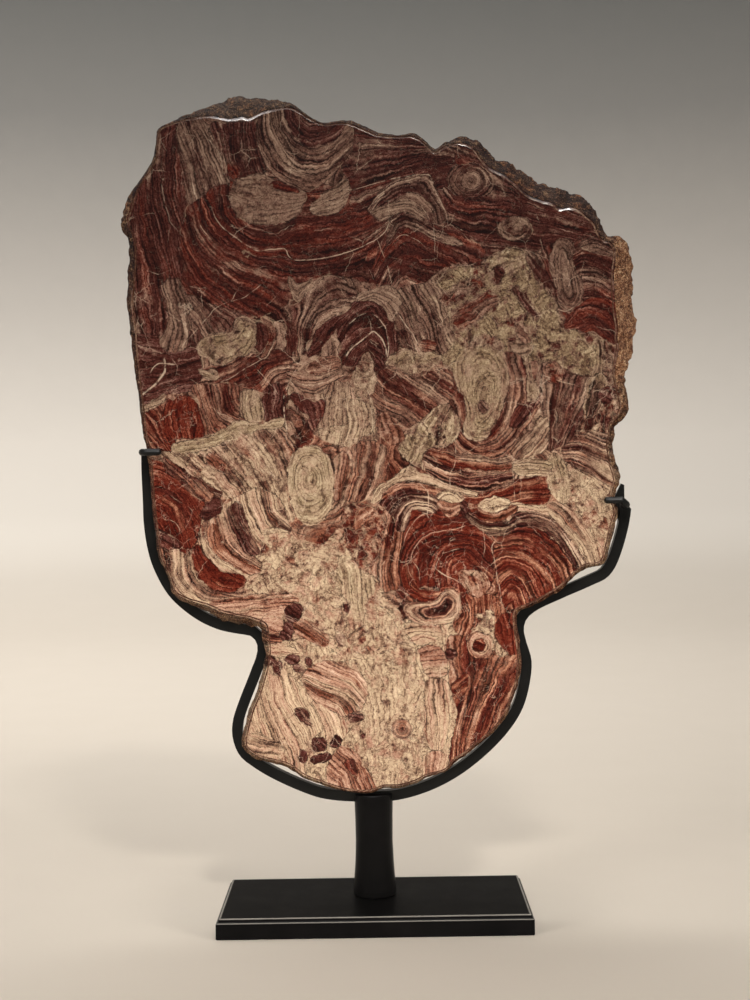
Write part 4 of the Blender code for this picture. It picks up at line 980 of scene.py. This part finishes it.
# Places on the face plane in millimetres. They slide as the beds go back through the slab, and wander a
# little so that no edge is smooth.
def beddingPlaces(points):
    depth = (points[:, 1] - slab["faceY"]) * 1000
    flat = points[:, [0, 2]] * 1000 + depth[:, None] * bedding["slide"]
    here = np.column_stack([flat, depth * 0.3])
    wander = np.column_stack([mixedLumps(here, bedding["wander"], seed) for seed in (11, 13)])
    return flat + bedding["wanderShare"] * wander


# Values of the points as an attribute: one number each, or four.
def setAttribute(item, name, values):
    kind = "FLOAT" if values.ndim == 1 else "FLOAT_COLOR"
    layer = item.data.attributes.new(name, kind, "POINT")
    layer.data.foreach_set("value" if values.ndim == 1 else "color", values.astype(np.float32).ravel())


# How much of each crust lies on the broken rim: a soft spot round each place.
def crustShares(points):
    shares = np.zeros((len(points), 4))
    weights = np.full(len(points), crustLeast)
    for at, reach, amounts in crusts:
        spread = np.array(reach) * picture["facePixel"]
        weight = np.exp(-(((points[:, [0, 2]] - toPlane([at])[0]) / spread) ** 2).sum(axis=1))
        shares += weight[:, None] * np.array([*amounts, 1.0])
        weights += weight
    return shares / weights[:, None]


places = beddingPlaces(stonePoints)
sheets, mixture = foldSheets(places)
for number, sheet in enumerate(sheets):
    setAttribute(stone, f"fold {number}", sheet)
veinLayers = veinSheets(places)
for number, sheet in enumerate(veinLayers):
    setAttribute(stone, f"vein {number}", sheet)
setAttribute(stone, "mixture", mixture)
setAttribute(stone, "crust", crustShares(stonePoints))
setAttribute(stone, "skin", stoneSkin)
print("bedding drawn,", len(folds), "folds on", len(sheets), "sheets and", len(veinLayers), "sheets of veins")


# A socket that can be used in sums: an expression on it adds Math nodes.
class Wire:
    def __init__(self, board, socket):
        self.board, self.socket = board, socket

    def maths(self, operation, *rest):
        return self.board.node("ShaderNodeMath", {"operation": operation}, dict(enumerate(rest)))

    def __add__(self, other):
        return self.maths("ADD", self, other)

    def __sub__(self, other):
        return self.maths("SUBTRACT", self, other)

    def __rsub__(self, other):
        return self.maths("SUBTRACT", other, self)

    def __mul__(self, other):
        return self.maths("MULTIPLY", self, other)

    def __truediv__(self, other):
        return self.maths("DIVIDE", self, other)

    def __gt__(self, other):
        return self.maths("GREATER_THAN", self, other)

    def __abs__(self):
        return self.maths("ABSOLUTE", self)

    __radd__, __rmul__ = __add__, __mul__

    def most(self, other):
        return self.maths("MAXIMUM", self, other)

    def least(self, other):
        return self.maths("MINIMUM", self, other)

    def sine(self):
        return self.maths("SINE", self)

    # 0 below low and 1 above high, with a soft step between
    def rise(self, low, high):
        sockets = {"Value": self, "From Min": low, "From Max": high}
        return self.board.node("ShaderNodeMapRange", {"interpolation_type": "SMOOTHSTEP"}, sockets)


# A material's node tree. Every node comes from node().
class Board:
    def __init__(self, name, plain):
        self.material = bpy.data.materials.new(name)
        self.material.use_nodes = True
        self.tree = self.material.node_tree
        self.tree.nodes.clear()
        self.output = self.tree.nodes.new("ShaderNodeOutputMaterial")
        self.shader = self.tree.nodes.new("ShaderNodeBsdfPrincipled")
        self.tree.links.new(self.shader.outputs[0], self.output.inputs[0])
        for key, value in plain.items():
            self.shader.inputs[key].default_value = value

    def node(self, kind, settings=None, sockets=None, output=0):
        made = self.tree.nodes.new(kind)
        for key, value in (settings or {}).items():
            if key == "stops":
                self.fillRamp(made.color_ramp, value)
            else:
                setattr(made, key, value)
        for key, value in (sockets or {}).items():
            self.feed(made.inputs[key], value)
        return Wire(self, made.outputs[output])

    def feed(self, socket, value):
        if isinstance(value, Wire):
            self.tree.links.new(value.socket, socket)
        else:
            socket.default_value = value

    def fillRamp(self, ramp, stops):
        while len(ramp.elements) > 1:
            ramp.elements.remove(ramp.elements[-1])
        ramp.elements[0].position = stops[0][0]
        ramp.elements[0].color = tint(stops[0][1])
        for place, colour in stops[1:]:
            ramp.elements.new(place).color = tint(colour)

    def set(self, name, value):
        self.feed(self.shader.inputs[name], value)

    def position(self):
        objectPlace = self.node("ShaderNodeTexCoord", output="Object")
        return self.vector("SCALE", objectPlace, scale=1000)  # millimetres

    def vector(self, operation, a, b=None, scale=None):
        sockets = {0: a}
        if b is not None:
            sockets[1] = b
        if scale is not None:
            sockets["Scale"] = scale
        return self.node("ShaderNodeVectorMath", {"operation": operation}, sockets)

    def noise(self, place, scale, detail=2.0, roughness=0.5, output=0):
        sockets = {"Vector": place, "Scale": scale, "Detail": detail, "Roughness": roughness}
        return self.node("ShaderNodeTexNoise", {}, sockets, output)

    def mix(self, factor, a, b):
        settings = {"data_type": "RGBA", "clamp_factor": True}
        return self.node("ShaderNodeMix", settings, {0: factor, 6: a, 7: b}, 2)

    # between two numbers
    def blend(self, factor, a, b):
        return self.node("ShaderNodeMix", {"data_type": "FLOAT"}, {0: factor, 2: a, 3: b}, 0)

    def ramp(self, factor, stops):
        return self.node("ShaderNodeValToRGB", {"stops": stops}, {0: factor})

    def xyz(self, x, y, z):
        return self.node("ShaderNodeCombineXYZ", {}, {0: x, 1: y, 2: z})

    def attribute(self, name, output=0):
        return self.node("ShaderNodeAttribute", {"attribute_name": name}, {}, output)

    def parts(self, vector):
        made = self.node("ShaderNodeSeparateXYZ", {}, {0: vector})
        return [Wire(self, made.socket.node.outputs[k]) for k in range(3)]

    # a height in the given metres, as relief
    def setRelief(self, height, distance):
        sockets = {"Strength": 1.0, "Distance": distance, "Height": height}
        self.set("Normal", self.node("ShaderNodeBump", {}, sockets))


# A colour written as on a paint card, as the linear value that a shader takes.
def tint(code):
    shares = [int(code[k:k + 2], 16) / 255 for k in (1, 3, 5)]
    return (*[s / 12.92 if s <= 0.04045 else ((s + 0.055) / 1.055) ** 2.4 for s in shares], 1.0)


# The stone's colours, dark to light, and where each of them stands on its ramp.
bedStops, rockStops = (0.0, 0.28, 0.5, 0.72, 1.0), (0.0, 0.3, 0.55, 0.8, 1.0)
stoneTones = {
    "wine": (bedStops, "#120403 #2b0e09 #441e18 #603b34 #93796c"),
    "brick": (bedStops, "#1c0402 #3e0f07 #561b10 #703424 #a77560"),
    "tan": (bedStops, "#321d12 #7e6350 #ac947a #c6b092 #decdb0"),
    "pink": (bedStops, "#3a170d #744737 #96705e #b08d77 #cdb19a"),
    "umber": (bedStops, "#1a0b07 #472c23 #6c4f41 #8c6f5d #b8a08b"),
    "orange": (bedStops, "#1e0904 #4c2416 #72412f #94634c #c49a7e"),
    "dusk": (bedStops, "#1c0d09 #4e352c #745a4e #917666 #bba996"),
    "olive": (bedStops, "#241810 #5d4836 #867058 #a89478 #d3c4a8"),
    "edge": ((0.3, 0.5, 0.62, 0.75), "#2c1811 #513529 #7d6351 #a58f7a"),
    "crust": (rockStops, "#070302 #241407 #432817 #6a4830 #a08260"),
    "ochre": (rockStops, "#2a160b #6d4329 #986745 #bb8b62 #e0c29c"),
    "rust": (rockStops, "#120704 #3a1c0e #5e3219 #80502d #b08058"),
}

# Single colours of the lines and surfaces that lie over the beds.
lineTones = {
    "crack": "#3a2015", "seam": "#22110d", "paleSeam": "#b8a287",
    "cellSeam": "#a8937a", "darkCellSeam": "#4a3022",
    "vein": "#cfbba4", "darkVein": "#1c1210", "hair": "#c9b29c",
    # pitShade is the painted shade of small pits on the rim
    "pitShade": "#140b07", "sawn": "#7d6a5a",
}

# How large each marking of the stone is, in millimetres.
stoneSizes = {
    "wander": 14, "crinkle": 2.6,            # the two crinkles of every line
    "cloud": 19, "patch": 9, "mottle": 5.5, "blotch": 2.2, "grain": 0.9, "speck": 0.45,
    "broadBed": 9, "coarseBed": 2.5, "middleBed": 1.2, "fineBed": 0.6,
    "fragment": 9.5, "tumble": 6, "pebble": 4.6,
    "seam": 9, "hair": 22, "net": 8,
    "lump": 4.5, "pitShade": 2.6,
}

# How it is finished.
stoneFinish = {
    "polish": 0.29,        # roughness of the face
    "rimRough": 0.6,       # added on the broken rim
    "backRough": 0.4,      # added on the sawn back
    "mirror": 0.2,         # how strongly the face mirrors
    "relief": 0.002,       # metres
    "upper": (250, 430),   # the heights in millimetres over which the stone turns greyer, duller and darker: partly its own colour, partly painted shade where the light falls off towards the top
    "edgeMirror": 0.6,
    "edgePolish": 0.2,
}


# A board that knows the stone's sizes and colours by name.
class StoneBoard(Board):
    def sized(self, name, place, detail, roughness=0.5, output=0):
        return self.noise(place, 1 / stoneSizes[name], detail, roughness, output)

    # random cells: a colour for each cell, or with output 0 the distance to its middle
    def cells(self, name, place, output=1):
        sockets = {"Vector": place, "Scale": 1 / stoneSizes[name]}
        return self.node("ShaderNodeTexVoronoi", {"feature": "F1"}, sockets, output)

    def cellEdges(self, name, place):
        sockets = {"Vector": place, "Scale": 1 / stoneSizes[name]}
        return self.node("ShaderNodeTexVoronoi", {"feature": "DISTANCE_TO_EDGE"}, sockets)

    def tones(self, name, factor):
        stops, colours = stoneTones[name]
        return self.ramp(factor, list(zip(stops, colours.split())))

    def line(self, name):
        return tint(lineTones[name])


# The noises that all of the stone shares, and crinkled places, which wander by about a millimetre.
def stoneGround(b):
    g = SimpleNamespace(place=b.position())
    g.x, g.y, g.z = b.parts(g.place)
    # upper rises towards the top, where the colours are painted greyer and darker: partly the stone's own
    # colour, partly painted shade where the light falls off
    g.upper = g.z.rise(*stoneFinish["upper"])
    wide = b.vector("SUBTRACT", b.sized("wander", g.place, 1, 0.5, 1), (0.5, 0.5, 0.5))
    small = b.vector("SUBTRACT", b.sized("crinkle", g.place, 3, 0.65, 1), (0.5, 0.5, 0.5))
    wander = b.vector("ADD", b.vector("SCALE", wide, scale=4.5), b.vector("SCALE", small, scale=2.6))
    g.shiftX, g.shiftZ = b.parts(wander)[::2]
    g.crinkled = b.vector("ADD", g.place, wander)
    tumble = b.vector("SUBTRACT", b.sized("tumble", g.place, 2, 0.6, 1), (0.5, 0.5, 0.5))
    g.tumbled = b.vector("ADD", g.place, b.vector("SCALE", tumble, scale=11))
    # small pieces that stand upright: the places are drawn in along Z
    pieces = b.vector("ADD", g.crinkled, b.vector("SCALE", tumble, scale=8))
    g.pieces = b.vector("MULTIPLY", pieces, (1.1, 1, 0.55))
    g.cloud = b.sized("cloud", g.place, 3, 0.6)
    g.patchy = b.sized("patch", g.place, 3, 0.6)
    g.mottle = b.sized("mottle", g.crinkled, 3, 0.6)
    g.blotch = b.sized("blotch", g.crinkled, 3, 0.65)
    g.grain = b.sized("grain", g.place, 3, 0.7)
    g.speck = b.sized("speck", g.place, 2, 0.6)
    g.mess, g.olive, g.busy = b.parts(b.attribute("mixture"))
    return g


# The folds, lowest sheet first: each covers what is under it where its own edge has been passed.
def layFolds(b, g):
    ragged = g.shiftX * 0.8 + (g.patchy - 0.5) * 4.5 + (g.mottle - 0.5) * g.mess * 16
    g.height = b.noise(g.place, 1 / 60, 1) * 90
    g.pale = b.noise(g.place, 1 / 30, 2)
    g.red = b.noise(g.place, 1 / 34, 2)
    g.seam = 9.0
    for number in range(len(sheets)):
        ownHeight, inside, ownPale = b.parts(b.attribute(f"fold {number}"))
        ownRed = b.attribute(f"fold {number}", 3)
        inside = inside + ragged
        covers = inside > 0.0
        tints = inside.rise(-0.7, 0.7)
        g.height = b.blend(covers, g.height, ownHeight)
        g.pale = b.blend(tints, g.pale, ownPale)
        g.red = b.blend(tints, g.red, ownRed)
        g.seam = b.blend(covers, (0.0 - inside).least(g.seam), inside)


# Broken ground: cells that each take a piece of the beds from elsewhere, turned and paler or darker.
def breakGround(b, g):
    cellX, cellY, cellZ = b.parts(b.cells("fragment", g.tumbled))
    g.broken = (g.mess + cellX * 0.5 - 0.25).rise(0.42, 0.5)
    turned = g.x * (cellY * 2 - 1) + g.z * (cellZ * 2 - 1)
    g.height = b.blend(g.broken, g.height, turned * 0.9 + cellX * 91)
    g.pale = g.pale + g.broken * (cellY - 0.5) * 0.35
    g.red = g.red + g.broken * (cellZ - 0.5) * 0.35
    g.height = g.height + g.shiftZ * 0.95 + g.shiftX * 0.55


# A noise that is quick across the beds and slow along them. Long is how far a bed goes unchanged.
def bedNoise(b, g, size, long, shift=0, detail=0):
    upwards = g.z * (1 / long)
    upwards = upwards + shift if shift else upwards
    return b.noise(b.xyz(g.height * (1 / stoneSizes[size]), g.x * (1 / long), upwards), 1.0, detail)


# How light each bed is inside its own colours: beds, thin dark and pale lines, grain and pepper.
def bedTone(b, g):
    g.broad = bedNoise(b, g, "broadBed", 70, detail=1)
    g.coarse = bedNoise(b, g, "coarseBed", 45, 7)
    g.middling = bedNoise(b, g, "middleBed", 30, 19)
    fine = bedNoise(b, g, "fineBed", 14, 31)
    bands = (g.coarse - 0.5) * 0.85 + (g.middling - 0.5) * 0.8 + (fine - 0.5) * 0.55
    g.strength = (0.9 + g.busy * 0.5 - g.mess * 0.2) * b.noise(g.place, 1 / 15, 2).rise(0.2, 0.62)
    tone = 0.5 + bands * g.strength + (g.broad - 0.5) * 0.3
    # the lines are about three millimetres apart, and closer or wider as the beds go
    beat = (g.height * 2.2 + (g.coarse - 0.5) * 7 + (g.broad - 0.5) * 9).sine()
    darkThread = beat.rise(0.6, 0.98) * g.patchy.rise(0.3, 0.52)
    paleThread = (0.0 - beat).rise(0.8, 0.99) * g.patchy.rise(0.42, 0.6)
    threads = 1 - g.mess * 0.6
    tone = tone - darkThread * 0.4 * threads + paleThread * 0.18 * threads
    tone = tone + (g.grain - 0.5) * 0.7 + (g.speck - 0.5) * 0.5
    tone = tone + (g.mottle - 0.5) * 0.3 + (g.blotch - 0.5) * 0.5
    pepper = (1 - g.blotch.rise(0.36, 0.43)) * g.grain.rise(0.4, 0.6)
    g.tone = tone - pepper * (0.28 - g.mess * 0.12) - g.upper * 0.03


# The colour of the beds: deep reds, middle browns and light tans by how light the bed is, each of them
# warmer or greyer by how red it is. Whole beds are paler or darker, and so are patches of broken ground.
# Towards the top they are painted greyer and darker, partly as shade.
def bedColour(b, g):
    pebbleX, pebbleY = b.parts(b.cells("pebble", g.pieces))[:2]
    bed = g.broad.rise(0.38, 0.62) - 0.5
    bedlet = g.coarse.rise(0.36, 0.64) - 0.5
    patch = (g.patchy * 0.5 + g.mottle * 0.5).rise(0.4, 0.6) - 0.5
    contrast = g.strength * (0.84 - g.upper * 0.14)
    lightness = g.pale + (bed * 0.36 + bedlet * 0.26) * contrast
    lightness = lightness + (g.mottle - 0.5) * 0.5 + (g.cloud - 0.5) * 0.6
    uneven = patch * 0.8 + (g.blotch - 0.5) * 0.9 + (pebbleX - 0.5) * 0.7
    g.lightness = lightness + uneven * g.mess + g.upper * 0.02 + 0.01
    red = g.red - (g.cloud - 0.5) * 0.5 - bed * 0.2 + (pebbleY * 0.6 - 0.3 - patch * 0.8) * g.mess
    tone = b.blend(g.lightness.rise(0.2, 0.78), g.tone, g.tone * 0.86 + 0.08)
    redness = red + (g.broad - 0.5) * 0.6 + (g.coarse - 0.5) * 0.7
    deep = b.mix(redness.rise(0.38, 0.95), b.tones("wine", tone), b.tones("brick", tone))
    rosy = red + (g.mottle - 0.5) * 0.4 + (g.coarse - 0.5) * 0.8 + (g.middling - 0.5) * 0.6
    light = b.mix(rosy.rise(0.15, 0.75), b.tones("tan", tone), b.tones("pink", tone))
    # towards the top the light tones turn to darker, greyer dusk: partly the stone's colour, partly painted
    # shade
    light = b.mix(g.upper * 0.85, light, b.tones("dusk", tone))
    green = g.olive + (g.patchy - 0.5) * 1.4 + (g.mottle - 0.5) * 0.8
    light = b.mix(green.rise(0.25, 0.85) * g.olive.rise(0.0, 0.3), light, b.tones("olive", tone))
    warmth = red + (g.mottle - 0.5) * 0.8 + (g.middling - 0.5) * 0.8 + g.mess * g.olive * 0.35
    middle = b.mix(warmth.rise(0.3, 0.75), b.tones("umber", tone), b.tones("orange", tone))
    # and so do the middle tones, a step darker: partly painted shade
    middle = b.mix(g.upper * 0.8, middle, b.tones("dusk", tone - 0.1))
    return b.mix(g.lightness.rise(0.45, 0.8), b.mix(g.lightness.rise(0.24, 0.48), deep, middle), light)


# Cracks round the small pieces of broken ground, and seams along the edges of folds and fragments, which
# are dark or pale as they run.
def drawSeams(b, g, colour):
    pebble = b.cellEdges("pebble", g.pieces)
    crack = (1 - (pebble + (g.grain - 0.5) * 0.2).rise(-0.02, 0.1)) * g.mess.rise(0.1, 0.5)
    crackWeight = crack * (g.mottle * 0.5 + g.cloud * 0.5).rise(0.4, 0.6) * 0.75
    colour = b.mix(crackWeight, colour, b.line("crack"))
    g.seamHere = 1 - (abs(g.seam) + (g.grain - 0.5) * 0.6).rise(0.05, 0.5)
    cellSeam = (1 - (b.cellEdges("fragment", g.tumbled) + (g.grain - 0.5) * 0.05).rise(0.01, 0.07)) * g.broken
    seamTone = b.sized("seam", g.place, 2)
    colour = b.mix(g.seamHere * seamTone.rise(0.4, 0.56) * 0.75, colour, b.line("seam"))
    colour = b.mix(g.seamHere * (1 - seamTone.rise(0.36, 0.42)) * 0.35, colour, b.line("paleSeam"))
    cellTone = b.mix(g.lightness.rise(0.4, 0.7), b.line("cellSeam"), b.line("darkCellSeam"))
    return b.mix(cellSeam * 0.3, colour, cellTone)


# The veins, and hairlines that run across everything: long ones, and elsewhere a finer net.
def drawVeins(b, g, colour):
    for number in range(len(veinLayers)):
        side, runs, wide = b.parts(b.attribute(f"vein {number}"))
        brightness = b.attribute(f"vein {number}", 3)
        away = abs(side + g.shiftX * 0.25 + (g.grain - 0.5) * 0.4)
        here = (1 - (away - wide * 0.4).rise(-0.2, 0.2)) * runs * g.mottle.rise(0.38, 0.58)
        colour = b.mix(here * 0.65, colour, b.mix(brightness, b.line("darkVein"), b.line("vein")))
    hair = (1 - b.cellEdges("hair", g.crinkled).rise(0.002, 0.01)) * g.cloud.rise(0.5, 0.6)
    net = 1 - b.cellEdges("net", g.tumbled).rise(0.004, 0.022)
    net = net * (1 - g.cloud.rise(0.42, 0.5)) * (1 - g.upper * 0.7)
    return b.mix(hair.most(net) * 0.42, colour, b.line("hair"))


# The broken rim: dark rock with ochre and rusty crusts, and small pits painted near-black as their shade.
def rimColour(b, g, colour):
    ochre, rust, dark = b.parts(b.attribute("crust"))
    g.lump = b.sized("lump", g.place, 5, 0.7)
    pits = b.cells("pitShade", g.crinkled, 0)
    rough = 0.42 + (g.lump - 0.5) * 2.8 + (g.grain - 0.5) * 2.6 + (g.speck - 0.5) * 1.6
    # dark deepens the rock: dark crust, and on the left shelf painted shade
    rock = b.tones("crust", rough - dark * 0.15)
    rock = b.mix((ochre + (g.mottle - 0.5) * 1.2).rise(0.3, 0.7), rock, b.tones("ochre", rough))
    rock = b.mix((rust + (g.patchy - 0.5) * 2.2).rise(0.5, 0.85), rock, b.tones("rust", rough))
    # painted shade: near-black spots for the shade in small pits, which the relief does not have
    rock = b.mix((1 - pits.rise(0.14, 0.34)) * g.lump.rise(0.44, 0.56) * 0.85, rock, b.line("pitShade"))
    return b.mix(0.25, rock, colour)


# The stone's material: the beds with their seams and veins on the face, rock on the rim, a dull sawn back.
def dressStone():
    b = StoneBoard("polished stone", {"Specular IOR Level": stoneFinish["mirror"]})
    g = stoneGround(b)
    layFolds(b, g)
    breakGround(b, g)
    bedTone(b, g)
    colour = drawVeins(b, g, drawSeams(b, g, bedColour(b, g)))
    # skin is 0 on the face, 1 on the rim and 2 on the back
    skin = b.attribute("skin", 2)
    onBack = skin.rise(1.65, 1.95)
    onRim = skin.rise(0.1, 0.6) * (1 - onBack)
    sawn = b.mix(0.28, colour, b.line("sawn"))
    b.set("Base Color", b.mix(onBack, b.mix(onRim, colour, rimColour(b, g, colour)), sawn))
    roughness = stoneFinish["polish"] + (g.grain - 0.5) * 0.12
    b.set("Roughness", roughness + onRim * stoneFinish["rimRough"] + onBack * stoneFinish["backRough"])
    saw = b.noise(b.xyz(g.x * 0.02, g.y, g.z * 2.2 + g.x * 0.4), 1.0, 2)
    relief = onRim * (g.lump * 1.5 + g.grain * 0.5) + onBack * (saw * 0.06 + g.grain * 0.04)
    b.setRelief(relief - g.seamHere * 0.015, stoneFinish["relief"])
    stone.data.materials.append(b.material)


# The narrow rounded edge of the polish: glossier than the face, brown with paler chips.
def dressEdge():
    b = StoneBoard("rounded edge of the polish", {"Specular IOR Level": stoneFinish["edgeMirror"]})
    place = b.position()
    chips = b.noise(place, 1 / 2.4, 3, 0.65)
    along = b.noise(place, 1 / 11, 2)
    b.set("Base Color", b.tones("edge", chips * 0.6 + along * 0.4))
    b.set("Roughness", stoneFinish["edgePolish"] + (chips - 0.5) * 0.2)
    stone.data.materials.append(b.material)


dressStone()
dressEdge()
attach(stone, "root")
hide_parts("slab")
print("stone dressed")


# The stand's nodes and paints. Lengths are in millimetres.
stand = {
    "steel": ["bracket", "front_prong_left", "front_prong_right", "back_prong_left", "back_prong_right"],
    "turned": ["post"],
    "board": ["base"],
    "steelTones": [(0.3, "#0b0b0b"), (0.6, "#131312"), (0.8, "#1c1b1a")],
    "boardTones": [(0.3, "#0a0a0a"), (0.6, "#100f0f"), (0.8, "#161514")],
    "baseHalf": (101.5, 48),
    "stepHeights": (10.6, 13),
    "stepWidth": 2.4,
    # the colour of the painted highlights on the base's step edges
    "edgeHighlight": "#8d8a84",
    "highlightReach": (0.3, 0.9),      # how far from an edge the painted highlight is full, and where it has faded out
    "cloud": 18,
    "fleck": 0.8,
}


# Painted highlights: pale lines standing for light caught along both edges of the base's step, and fainter in
# its inside corner. outward is the distance past the rim.
def paintedEdgeHighlights(b, place):
    x, y, z = b.parts(place)
    near, far = stand["highlightReach"]
    outward = (abs(x) - stand["baseHalf"][0]).most(abs(y) - stand["baseHalf"][1])
    lower, raised = stand["stepHeights"]
    onRim = outward.rise(-far, -near) * (z - lower).rise(-0.7, -0.1)
    onStep = (outward + stand["stepWidth"]).rise(-far, -near) * (z - raised).rise(-0.7, -0.1)
    inCorner = 1 - (abs(outward + stand["stepWidth"]) + abs(z - lower)).rise(0.2, 0.9)
    return onRim * 0.9 + onStep * 0.9 + inCorner * 0.35


# Black paint: a mottled near-black with a faint orange-peel relief, rubbed greyer in small patches. On the
# base it also gets painted highlights along the step edges.
def paintBlack(name, tones, roughness, gloss, peel, nodes):
    b = Board(name, {"Specular IOR Level": gloss})
    place = b.position()
    cloud = b.noise(place, 1 / stand["cloud"], 4, 0.6)
    fleck = b.noise(place, 1 / stand["fleck"], 3, 0.6)
    rubbed = (cloud * 0.6 + fleck * 0.4).rise(0.56, 0.7)
    colour = b.ramp(cloud * 0.7 + fleck * 0.3, tones)
    if "base" in nodes:
        # painted highlights: pale lines along the base's step edges, where light catches them
        colour = b.mix(paintedEdgeHighlights(b, place) * (0.4 + cloud), colour, tint(stand["edgeHighlight"]))
    b.set("Base Color", colour)
    b.set("Roughness", roughness + (cloud - 0.5) * 0.2 + (fleck - 0.5) * 0.15 - rubbed * 0.06)
    b.setRelief(fleck, peel)
    for node in nodes:
        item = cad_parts[node]
        item.data.materials.clear()
        item.data.materials.append(b.material)


paintBlack("black painted steel", stand["steelTones"], 0.4, 0.25, 0.00006, stand["steel"])
paintBlack("black turned post", stand["boardTones"], 0.34, 0.06, 0.00003, stand["turned"])
paintBlack("black board", stand["boardTones"], 0.5, 0.03, 0.00004, stand["board"])
print("stand painted")


# The floor and wall: their profile in metres, and their colours from near to far and from low to high. The
# colours hold painted shade: the floor greyer near the middle, and the wall darker and greyer towards the
# top, where the light falls off.
stage = {
    "radius": [0.4, 1.2, 1.7, 2.2, 2.6, 2.9, 3.1, 3.2, 3.25, 3.25],
    "height": [0, 0, 0.02, 0.09, 0.22, 0.43, 0.75, 1.1, 1.6, 3.2],
    "sides": 96,
    # painted shade: greyer near the middle
    "floorTones": [(0.0, "#c4bdb3"), (0.12, "#d0c9c0"), (0.3, "#e9e4dc"), (1.0, "#eeeae3")],
    # painted shade: darker and greyer towards the top
    "wallTones": [(0.0, "#dfdad2"), (0.25, "#dcd7d0"), (0.55, "#b6b2ad"), (0.8, "#8e8d8b"), (1.0, "#7c7d7c")],
    "floorReach": 1500,   # millimetres that the tones run over
    "wallReach": 1700,
    "turnsUp": (20, 200),
    "grain": (60, 0.03),
}


# A round floor whose rim curves up into a wall: the profile above, turned about the upright axis.
def makeStage():
    turn = np.linspace(0, 2 * np.pi, stage["sides"] + 1)[:-1]
    radius, height = np.array(stage["radius"])[:, None], np.array(stage["height"])[:, None]
    rings = np.stack([radius * np.cos(turn), radius * np.sin(turn), height + 0 * turn], axis=-1)
    number = np.arange(rings[..., 0].size).reshape(rings.shape[:2])
    beside = np.roll(number, -1, 1)
    quads = np.stack([number[:-1], beside[:-1], beside[1:], number[1:]], axis=-1)
    floor = joinMesh("floor", rings.reshape(-1, 3), [quads.reshape(-1, 4)[:, ::-1], number[:1]])
    floor.data.polygons.foreach_set("use_smooth", np.ones(len(floor.data.polygons), bool))
    b = Board("pale floor", {"Roughness": 0.75, "Specular IOR Level": 0.15})
    place = b.position()
    x, y, z = b.parts(place)
    away = (x * x + y * y).maths("SQRT")
    size, strength = stage["grain"]
    grain = b.noise(place, 1 / size, 3) * strength
    # the tones paint shade: a greyer floor near the middle and a darker wall higher up
    ground = b.ramp(away / stage["floorReach"] + grain, stage["floorTones"])
    wall = b.ramp(z / stage["wallReach"] + grain, stage["wallTones"])
    b.set("Base Color", b.mix(z.rise(*stage["turnsUp"]), ground, wall))
    floor.data.materials.append(b.material)


# A lamp as a lit rectangle, turned from its place to its aim. Mirrored lamps show in gloss, and lighting
# ones light the colour.
def addLight(name, place, aim, size, power, colour, spread=180, mirrored=True, lighting=True):
    light = bpy.data.lights.new(name, "AREA")
    light.shape = "RECTANGLE"
    light.size, light.size_y = size
    light.energy = power
    light.color = tint(colour)[:3]
    light.spread = np.radians(spread)
    item = bpy.data.objects.new(name, light)
    bpy.context.scene.collection.objects.link(item)
    item.location = place
    item.visible_camera = False
    item.visible_glossy = mirrored
    item.visible_diffuse = lighting
    away = np.subtract(place, aim)
    flat = np.hypot(away[0], away[1])
    item.rotation_euler = (np.arctan2(flat, away[2]), 0, np.arctan2(away[0], -away[1]))


# Small lamps on the stone, a wide one on the wall, one whose reflection is the glint on the edge, and a
# soft light from all round.
def makeLights():
    addLight("high front", (0.35, -1.35, 1.75), (0, 0, 0.1), (0.24, 0.18), 3, "#fff7ec", 80)
    for name, side in (("low left", -1), ("low right", 1)):
        addLight(name, (1.2 * side, -0.95, 0.3), (0, 0, 0.08), (0.5, 0.3), 1.3, "#fff8f0", 40, mirrored=False)
    addLight("backdrop wash", (-0.5, 0.6, 1.9), (-0.6, 2.1, 0), (2.2, 0.6), 46, "#fffaf4", 150)
    addLight("edge glint", (-0.1, -1.2, 2.4), (0, 0, 0.5), (1.6, 0.7), 120, "#ffffff", lighting=False)
    world = bpy.data.worlds.new("studio")
    bpy.context.scene.world = world
    world.use_nodes = True
    background = world.node_tree.nodes["Background"]
    background.inputs[0].default_value = tint("#e9e4dc")
    background.inputs[1].default_value = 0.5
    bpy.context.scene.view_settings.view_transform = "Standard"


# A level camera at the eye of the picture, with its frame moved instead of its aim.
def makeCamera():
    lens = bpy.data.cameras.new("camera")
    lens.sensor_width = 36
    lens.lens = lens.sensor_width * picture["focal"] / picture["tall"]
    lens.shift_y = -picture["horizonRise"] / picture["tall"]
    camera = bpy.data.objects.new("camera", lens)
    bpy.context.scene.collection.objects.link(camera)
    camera.location = picture["eye"]
    camera.rotation_mode = "XYZ"
    camera.rotation_euler = (np.pi / 2, picture["turn"], 0)
    bpy.context.scene.camera = camera


makeStage()
makeLights()
makeCamera()
print("stage, lights and camera set")
